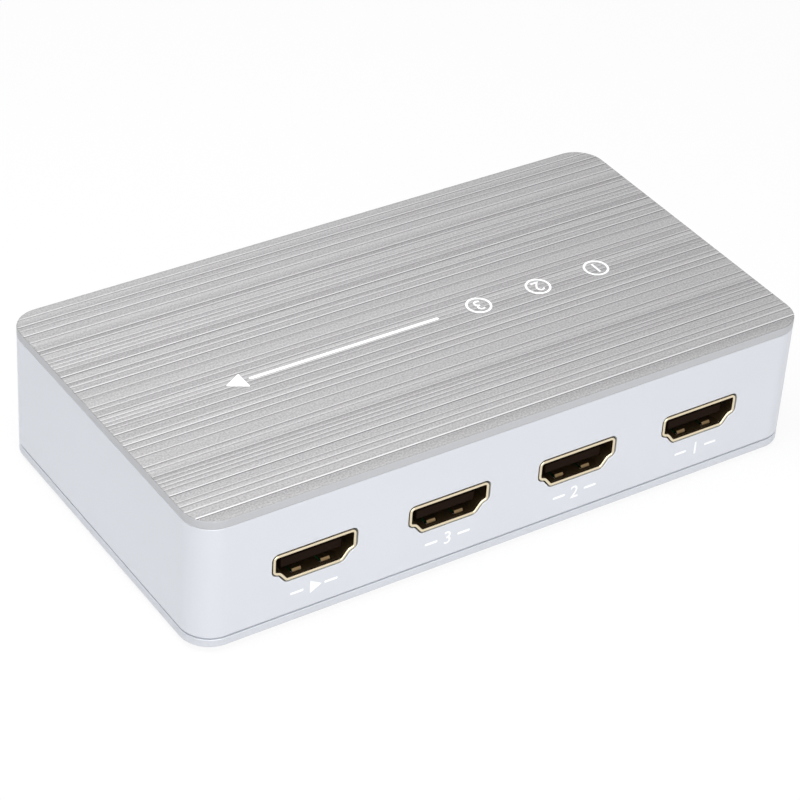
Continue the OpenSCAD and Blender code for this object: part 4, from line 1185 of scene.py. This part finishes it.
class SWITCHBOX_OT_sockets(bpy.types.Operator):
    """Model a socket's shell and tongue once, and copy them to each socket"""

    bl_idname = "switch_box.sockets"
    bl_label = "Sockets"

    def execute(self, context):
        sizes = context.scene.switch_box_sockets
        first = SOCKETS[0]
        start = socket_centre(first, sizes)
        shell = self.model_shell(sizes, first, start)
        tongue = self.model_tongue(context, sizes, first, start)
        for kind, piece, slot in (("shell", shell, "socket_gold"), ("tongue", tongue, "tongue_plastic")):
            pieces = [piece]
            for name in SOCKETS[1:]:
                shift = socket_centre(name, sizes) - start
                pieces.append(copy_moved(piece, f"{name}_{kind}", shift))
            for name, copy in zip(SOCKETS, pieces):
                hand_over(copy, "enclosure", slot, f"{name}_socket_{kind}")
        return {"FINISHED"}

    def model_shell(self, sizes, name, centre):
        """A bar with the mouth's outline, opened from end to end, with a lip, spring fingers and legs."""
        low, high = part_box(f"{name}_socket_shell")
        shell = mouth_bar(f"{name}_shell", sizes, centre, sizes.shell, low.y, high.y - low.y)
        with editing(shell):
            hollow_out(shell, 1, sizes.shell)
            soften(shell, lambda edge: lies_at(edge, 1, low.y) and is_sharp(edge), sizes.lip)
        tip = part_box(f"{name}_socket_tongue")[0].y
        self.add_fingers(sizes, shell, centre, tip + sizes.tongue_length)
        for side in (-1, 1):
            for front in (low.y + sizes.leg_front, high.y - sizes.leg_back):
                inner = centre.x + side * sizes.mouth_width / 2
                outer = inner + side * sizes.shell
                top = centre.z + sizes.mouth_height / 2 - sizes.side_height / 2
                leg = add_block("leg", (inner, front, low.z), (outer, front + sizes.leg_width, top))
                build_on(shell, leg)
        return shell

    def add_fingers(self, sizes, shell, centre, root):
        """Two spring fingers in the floor and two in the roof of a shell, each in its own window."""
        tip = root - sizes.finger_length - sizes.finger_slot
        anchor = root - sizes.finger_slot / 2
        crest = anchor - sizes.finger_slot - sizes.finger_length * sizes.finger_crest
        half = sizes.finger_width / 2
        crest_edge = sizes.finger_sheet / 3
        overlap = sizes.finger_slot / 4
        for side, up in CORNER_SIGNS:
            x = centre.x + side * sizes.finger_gap / 2
            wall = centre.z + up * sizes.mouth_height / 2
            sheet = wall + up * sizes.finger_sheet
            window = add_block(
                "window",
                (x - half - sizes.finger_slot, tip - sizes.finger_slot, wall - up * sizes.shell),
                (x + half + sizes.finger_slot, root, wall + 2 * up * sizes.shell),
            )
            cut_away(shell, window)
            finger = add_block("finger", (x - half, tip, wall), (x + half, anchor, sheet))
            with editing(finger):
                bpy.ops.mesh.select_all(action="SELECT")
                bpy.ops.mesh.bisect(plane_co=(0, crest, 0), plane_no=(0, 1, 0))
                pick(finger, "VERT", lambda vert: near(vert.co.y, crest))
                bpy.ops.transform.translate(value=(0, 0, -up * sizes.finger_bulge))
                soften(finger, lambda edge: lies_at(edge, 1, crest) and not is_upright(edge), crest_edge)
            root_block = add_block(
                "root", (x - half, anchor - overlap, wall), (x + half, root + sizes.finger_slot, sheet)
            )
            build_on(shell, finger, root_block)

    def model_tongue(self, context, sizes, name, centre):
        """The tongue with a soft tip, the plug that fills the shell behind it, and the block's back wall."""
        low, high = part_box(f"{name}_socket_tongue")
        shell_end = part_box(f"{name}_socket_shell")[1].y
        root = low.y + sizes.tongue_length
        gap = context.scene.switch_box_case.hole_gap
        tongue = add_block(
            f"{name}_tongue",
            (centre.x - sizes.tongue_width / 2, low.y, centre.z - sizes.tongue_sheet / 2),
            (centre.x + sizes.tongue_width / 2, root + OVERSHOOT, centre.z + sizes.tongue_sheet / 2),
        )
        with editing(tongue):
            soften(tongue, edges_at(1, low.y), sizes.tongue_edge)
        plug = mouth_bar("plug", sizes, centre, -gap, root, shell_end - root + OVERSHOOT / 2)
        wall = add_block(
            "wall",
            (centre.x - sizes.mouth_width / 2, shell_end, low.z),
            (centre.x + sizes.mouth_width / 2, high.y, high.z),
        )
        with editing(wall):
            soften(wall, edges_at(2, high.z), sizes.tongue_edge)
        build_on(tongue, plug, wall)
        return tongue


class SWITCHBOX_OT_button(bpy.types.Operator):
    """Model the select button: flange, stem, and a cap with a dished, turned face"""

    bl_idname = "switch_box.button"
    bl_label = "Select button"

    def execute(self, context):
        sizes = context.scene.switch_box_panel
        low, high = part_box("select_button")
        middle = (low + high) / 2
        flange_radius = (high.x - low.x) / 2
        back = low.y + sizes.stem_length
        button = add_bar("turned_button", (middle.x, back, middle.z), 1, sizes.flange, flange_radius)
        with editing(button):
            pick(button, "FACE", faces_along(1, 1, back + sizes.flange))
            bpy.ops.mesh.inset(thickness=flange_radius - sizes.cap_radius)
            push(high.y - back - sizes.flange, 1)
            soften(button, edges_at(1, high.y), sizes.cap_edge, SOFT_STEPS + 1)
            pick(button, "FACE", faces_along(1, 1, high.y))
            bpy.ops.mesh.inset(thickness=sizes.dish_width)
            bpy.ops.mesh.inset(thickness=sizes.ring_width, depth=-sizes.dish_depth)
            for ring in range(sizes.ring_count):
                depth = sizes.ring_depth if ring % 2 else -sizes.ring_depth
                bpy.ops.mesh.inset(thickness=sizes.ring_width, depth=depth)
            pick(button, "FACE", faces_along(1, -1, back))
            bpy.ops.mesh.inset(thickness=flange_radius - sizes.stem_radius)
            push(-sizes.stem_length, 1)
            soften(button, edges_at(1, low.y), sizes.stem_edge)
        hand_over(button, "button", "button_metal", "select_button")
        return {"FINISHED"}


class SWITCHBOX_OT_dome(bpy.types.Operator):
    """Model the snap dome: a thin dished sheet that the plunger presses flat"""

    bl_idname = "switch_box.dome"
    bl_label = "Snap dome"

    def execute(self, context):
        sheet = context.scene.switch_box_panel.dome_sheet
        low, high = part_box("switch_snap_dome")
        middle = (low + high) / 2
        radius = (high.x - low.x) / 2
        rise = high.y - low.y - sheet
        bend = (radius**2 + rise**2) / (2 * rise)
        dome = add_new(
            "dished_snap_dome",
            bpy.ops.mesh.primitive_uv_sphere_add,
            segments=ROUND_SIDES,
            ring_count=ROUND_SIDES,
            radius=bend,
            location=(middle.x, high.y - bend, middle.z),
            rotation=(-math.pi / 2, 0, 0),
        )
        settle()
        with editing(dome):
            bpy.ops.mesh.select_all(action="SELECT")
            bpy.ops.mesh.bisect(plane_co=(0, high.y - rise, 0), plane_no=(0, 1, 0), clear_inner=True)
        wall = dome.modifiers.new("sheet", "SOLIDIFY")
        wall.thickness = sheet
        activate(dome)
        bpy.ops.object.modifier_apply(modifier=wall.name)
        hand_over(dome, "enclosure", "switch_steel", "switch_snap_dome")
        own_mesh(dome)
        return {"FINISHED"}


class SWITCHBOX_OT_mouths(bpy.types.Operator):
    """Model the soft-edged infrared window and power jack from their nodes"""

    bl_idname = "switch_box.mouths"
    bl_label = "Window and jack"

    def execute(self, context):
        sizes = context.scene.switch_box_panel
        for name, node, slot, axis, soft in (
            ("window_lens", "infrared_window", "window_dark", 1, sizes.window_edge),
            ("jack_shell", "jack_body", "jack_plastic", 0, sizes.nose_edge),
        ):
            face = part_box(node)[1][axis]
            piece = merged_copy(name, node)
            with editing(piece):
                soften(piece, lambda edge: lies_at(edge, axis, face) and is_sharp(edge), soft)
            hand_over(piece, "enclosure", slot, node)
        return {"FINISHED"}


class SWITCHBOX_OT_marks(bpy.types.Operator):
    """Lay the printed digits, bars, rings and arrows on the walls and the top"""

    bl_idname = "switch_box.marks"
    bl_label = "Marks"

    def execute(self, context):
        sizes = context.scene.switch_box_marks
        self.mark_sockets(context, sizes)
        self.mark_top(sizes)
        self.mark_panel(sizes)
        return {"FINISHED"}

    def print_on(self, name, ink, turn, marks):
        """Turns flat marks, drawn at the origin towards +Z, and lays them at their places as one piece."""
        for mark, place in marks:
            activate(mark)
            mark.rotation_euler = turn
            mark.location = place
            settle()
        hand_over(merge_pieces(name, [mark for mark, place in marks]), "enclosure", ink)

    def digit(self, sizes, text, height):
        """A digit as a thin solid, centred on the origin."""
        mark = add_new("digit", bpy.ops.object.text_add)
        mark.data.body = text
        mark.data.extrude = (sizes.film + sizes.sink) / 2
        mark.data.resolution_u = DIGIT_STEPS
        bpy.ops.object.convert(target="MESH")
        mark = bpy.context.object
        low = Vector(mark.bound_box[0])
        high = Vector(mark.bound_box[6])
        middle = (low + high) / 2
        scale = height / (high.y - low.y)
        with editing(mark):
            bpy.ops.mesh.select_all(action="SELECT")
            bpy.ops.mesh.remove_doubles(threshold=SAME_PLACE)
            bpy.ops.transform.translate(value=(-middle.x, -middle.y, (sizes.film - sizes.sink) / 2))
            bpy.ops.transform.resize(value=(scale, scale, 1), center_override=(0, 0, 0))
        return mark

    def bar(self, sizes, length, width, shift=0):
        """A bar with round ends as a thin solid, shifted along it from the origin."""
        bar = add_block(
            "bar",
            (shift - length / 2, -width / 2, -sizes.sink),
            (shift + length / 2, width / 2, sizes.film),
        )
        with editing(bar):
            soften(bar, is_upright, width * BAR_ROUNDING)
        return bar

    def arrow(self, sizes, radius):
        """A three-sided arrow head as a thin solid, pointing along +X."""
        head = add_bar("arrow", (0, 0, -sizes.sink), 2, sizes.film + sizes.sink, radius, sides=3)
        with editing(head):
            soften(head, is_upright, radius * ARROW_ROUNDING)
            bpy.ops.mesh.select_all(action="SELECT")
            bpy.ops.transform.rotate(value=math.pi / 2, orient_axis="Z", center_override=(0, 0, 0))
        return head

    def ring(self, sizes, radius):
        """A ring as a thin solid, centred on the origin."""
        ring = add_bar("ring", (0, 0, -sizes.sink), 2, sizes.film + sizes.sink, radius)
        with editing(ring):
            hollow_out(ring, 2, sizes.ring_width)
        return ring

    def mark_sockets(self, context, sizes):
        """A digit between two bars under each input, and an arrow between two bars under the output."""
        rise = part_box("base_plate")[0].z + sizes.digit_rise
        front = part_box("housing")[0].y
        marks = []
        for name in SOCKETS:
            place = (socket_centre(name, context.scene.switch_box_sockets).x, front, rise)
            if name == "output":
                marks.append((self.arrow(sizes, sizes.arrow_radius), place))
            else:
                marks.append((self.digit(sizes, name[-1], sizes.digit_height), place))
            for shift in (-sizes.bar_place, sizes.bar_place):
                marks.append((self.bar(sizes, sizes.bar_length, sizes.bar_width, shift), place))
        self.print_on("socket_marks", "print_white", (math.pi / 2, 0, 0), marks)

    def mark_top(self, sizes):
        """Three ringed digits, a line and an arrow across the top, to be read from the button side."""
        radius = sizes.top_height / 2
        signs = []
        for digit, steps in (("1", 3), ("2", 2), ("3", 1)):
            x = steps * sizes.ring_pitch
            signs.append((self.digit(sizes, digit, sizes.ringed_height), x))
            signs.append((self.ring(sizes, radius), x))
        signs.append((self.bar(sizes, sizes.line_length, sizes.line_width), sizes.line_place))
        signs.append((self.arrow(sizes, radius), sizes.head_place))
        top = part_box("top_plate")[1].z
        marks = [(sign, (x, sizes.top_place, top)) for sign, x in signs]
        self.print_on("top_marks", "print_white", (0, 0, math.pi), marks)

    def mark_panel(self, sizes):
        """A digit over each input's lamp, and a short bar over the power lamp."""
        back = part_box("housing")[1].y
        marks = []
        for lamp in LAMPS:
            middle = middle_of(lamp)
            if lamp == "power_lamp":
                mark = self.bar(sizes, sizes.bar_length, sizes.bar_width)
            else:
                mark = self.digit(sizes, lamp.split("_")[1], sizes.panel_height)
            marks.append((mark, (middle.x, back, middle.z + sizes.panel_rise)))
        self.print_on("panel_marks", "print_grey", (math.pi / 2, 0, math.pi), marks)


class SWITCHBOX_OT_stage(bpy.types.Operator):
    """Set the pale floor, the soft lights, the white surround and the camera"""

    bl_idname = "switch_box.stage"
    bl_label = "Stage"

    def execute(self, context):
        sizes = context.scene.switch_box_stage
        context.scene.view_settings.view_transform = "Standard"
        self.lay_floor(sizes)
        self.light_surround(context, sizes)
        self.hang_lights()
        self.place_camera(context, sizes)
        return {"FINISHED"}

    def seen_rays(self, tree):
        """A value of 1 for the rays by which the camera, metal and clear parts see the background."""
        rays = add_node(tree, "LightPath").outputs
        seen = rays["Is Camera Ray"]
        for kind in ("Is Glossy Ray", "Is Transmission Ray"):
            seen = add_node(tree, "Math", {0: seen, 1: rays[kind]}, operation="MAXIMUM").outputs[0]
        return seen

    def show_mix(self, tree, output, factor, first, second):
        """Sends a mix of two shaders to an output."""
        mix = add_node(tree, "MixShader", {0: factor, 1: first.outputs[0], 2: second.outputs[0]})
        feed(tree, tree.nodes[output], {"Surface": mix.outputs[0]})

    def lay_floor(self, sizes):
        """A floor that looks white, and keeps part of the object's shadow."""
        floor = add_new("floor", bpy.ops.mesh.primitive_plane_add, size=sizes.floor_size)
        material = bpy.data.materials.new("floor_white")
        material.use_nodes = True
        tree = material.node_tree
        pale = tree.nodes["Principled BSDF"]
        feed(tree, pale, {"Base Color": FLOOR_COLOUR, "Roughness": FLOOR_ROUGHNESS})
        share = add_node(tree, "Math", {0: self.seen_rays(tree), 1: sizes.floor_share}, operation="MULTIPLY")
        self.show_mix(tree, "Material Output", share.outputs[0], pale, add_node(tree, "Emission"))
        floor.data.materials.append(material)

    def light_surround(self, context, sizes):
        """A world that lights softly and looks white, also in metal and clear parts."""
        world = bpy.data.worlds.new("surround")
        context.scene.world = world
        world.use_nodes = True
        tree = world.node_tree
        soft = tree.nodes["Background"]
        feed(tree, soft, {"Color": WHITE, "Strength": sizes.ambient})
        white = add_node(tree, "Background", {"Color": WHITE})
        self.show_mix(tree, "World Output", self.seen_rays(tree), soft, white)

    def hang_lights(self):
        """Broad lamps before, behind and right of the object, a small one off its corner, one close above."""
        for name, place, side, power in STUDIO_LAMPS:
            light = add_new(name, bpy.ops.object.light_add, type="AREA", location=place)
            light.data.size = side
            light.data.energy = power
            light.rotation_euler = (-Vector(place)).to_track_quat("-Z", "Y").to_euler()

    def place_camera(self, context, sizes):
        """The camera at the photograph's angle, with its roll and focal length."""
        back = Vector((
            math.sin(sizes.azimuth) * math.cos(sizes.elevation),
            -math.cos(sizes.azimuth) * math.cos(sizes.elevation),
            math.sin(sizes.elevation),
        ))
        right = (-back).cross(Vector((0, 0, 1))).normalized()
        up = back.cross(right)
        across = right * math.cos(sizes.roll) + up * math.sin(sizes.roll)
        above = up * math.cos(sizes.roll) - right * math.sin(sizes.roll)
        camera = add_new("camera", bpy.ops.object.camera_add)
        place = Vector(sizes.aim) + back * sizes.distance
        camera.matrix_world = Matrix.Translation(place) @ Matrix((across, above, back)).transposed().to_4x4()
        camera.data.sensor_width = sizes.sensor
        camera.data.lens = sizes.focal_pixels / FRAME_PIXELS * sizes.sensor
        camera.data.clip_start = CLIP_START
        context.scene.camera = camera


OPERATORS = (
    SWITCHBOX_OT_finishes,
    SWITCHBOX_OT_case,
    SWITCHBOX_OT_top,
    SWITCHBOX_OT_base,
    SWITCHBOX_OT_screws,
    SWITCHBOX_OT_feet,
    SWITCHBOX_OT_sockets,
    SWITCHBOX_OT_button,
    SWITCHBOX_OT_dome,
    SWITCHBOX_OT_mouths,
    SWITCHBOX_OT_marks,
    SWITCHBOX_OT_stage,
)
SETTINGS = {
    "switch_box_case": SwitchBoxCase,
    "switch_box_top": SwitchBoxTop,
    "switch_box_sockets": SwitchBoxSockets,
    "switch_box_panel": SwitchBoxPanel,
    "switch_box_base": SwitchBoxBase,
    "switch_box_marks": SwitchBoxMarks,
    "switch_box_stage": SwitchBoxStage,
}


class SWITCHBOX_PT_sidebar(bpy.types.Panel):
    bl_idname = "SWITCHBOX_PT_sidebar"
    bl_label = "Switch Box"
    bl_space_type = "VIEW_3D"
    bl_region_type = "UI"
    bl_category = "Switch Box"

    def draw(self, context):
        for operator in OPERATORS:
            self.layout.operator(operator.bl_idname)


def register():
    for group in SETTINGS.values():
        bpy.utils.register_class(group)
    for name, group in SETTINGS.items():
        setattr(bpy.types.Scene, name, PointerProperty(type=group))
    for operator in OPERATORS:
        bpy.utils.register_class(operator)
    bpy.utils.register_class(SWITCHBOX_PT_sidebar)


def unregister():
    bpy.utils.unregister_class(SWITCHBOX_PT_sidebar)
    for operator in reversed(OPERATORS):
        bpy.utils.unregister_class(operator)
    for name in SETTINGS:
        delattr(bpy.types.Scene, name)
    for group in reversed(SETTINGS.values()):
        bpy.utils.unregister_class(group)


def main():
    register()
    for operator in OPERATORS:
        family, name = operator.bl_idname.split(".")
        getattr(getattr(bpy.ops, family), name)()


if __name__ == "__main__":
    main()
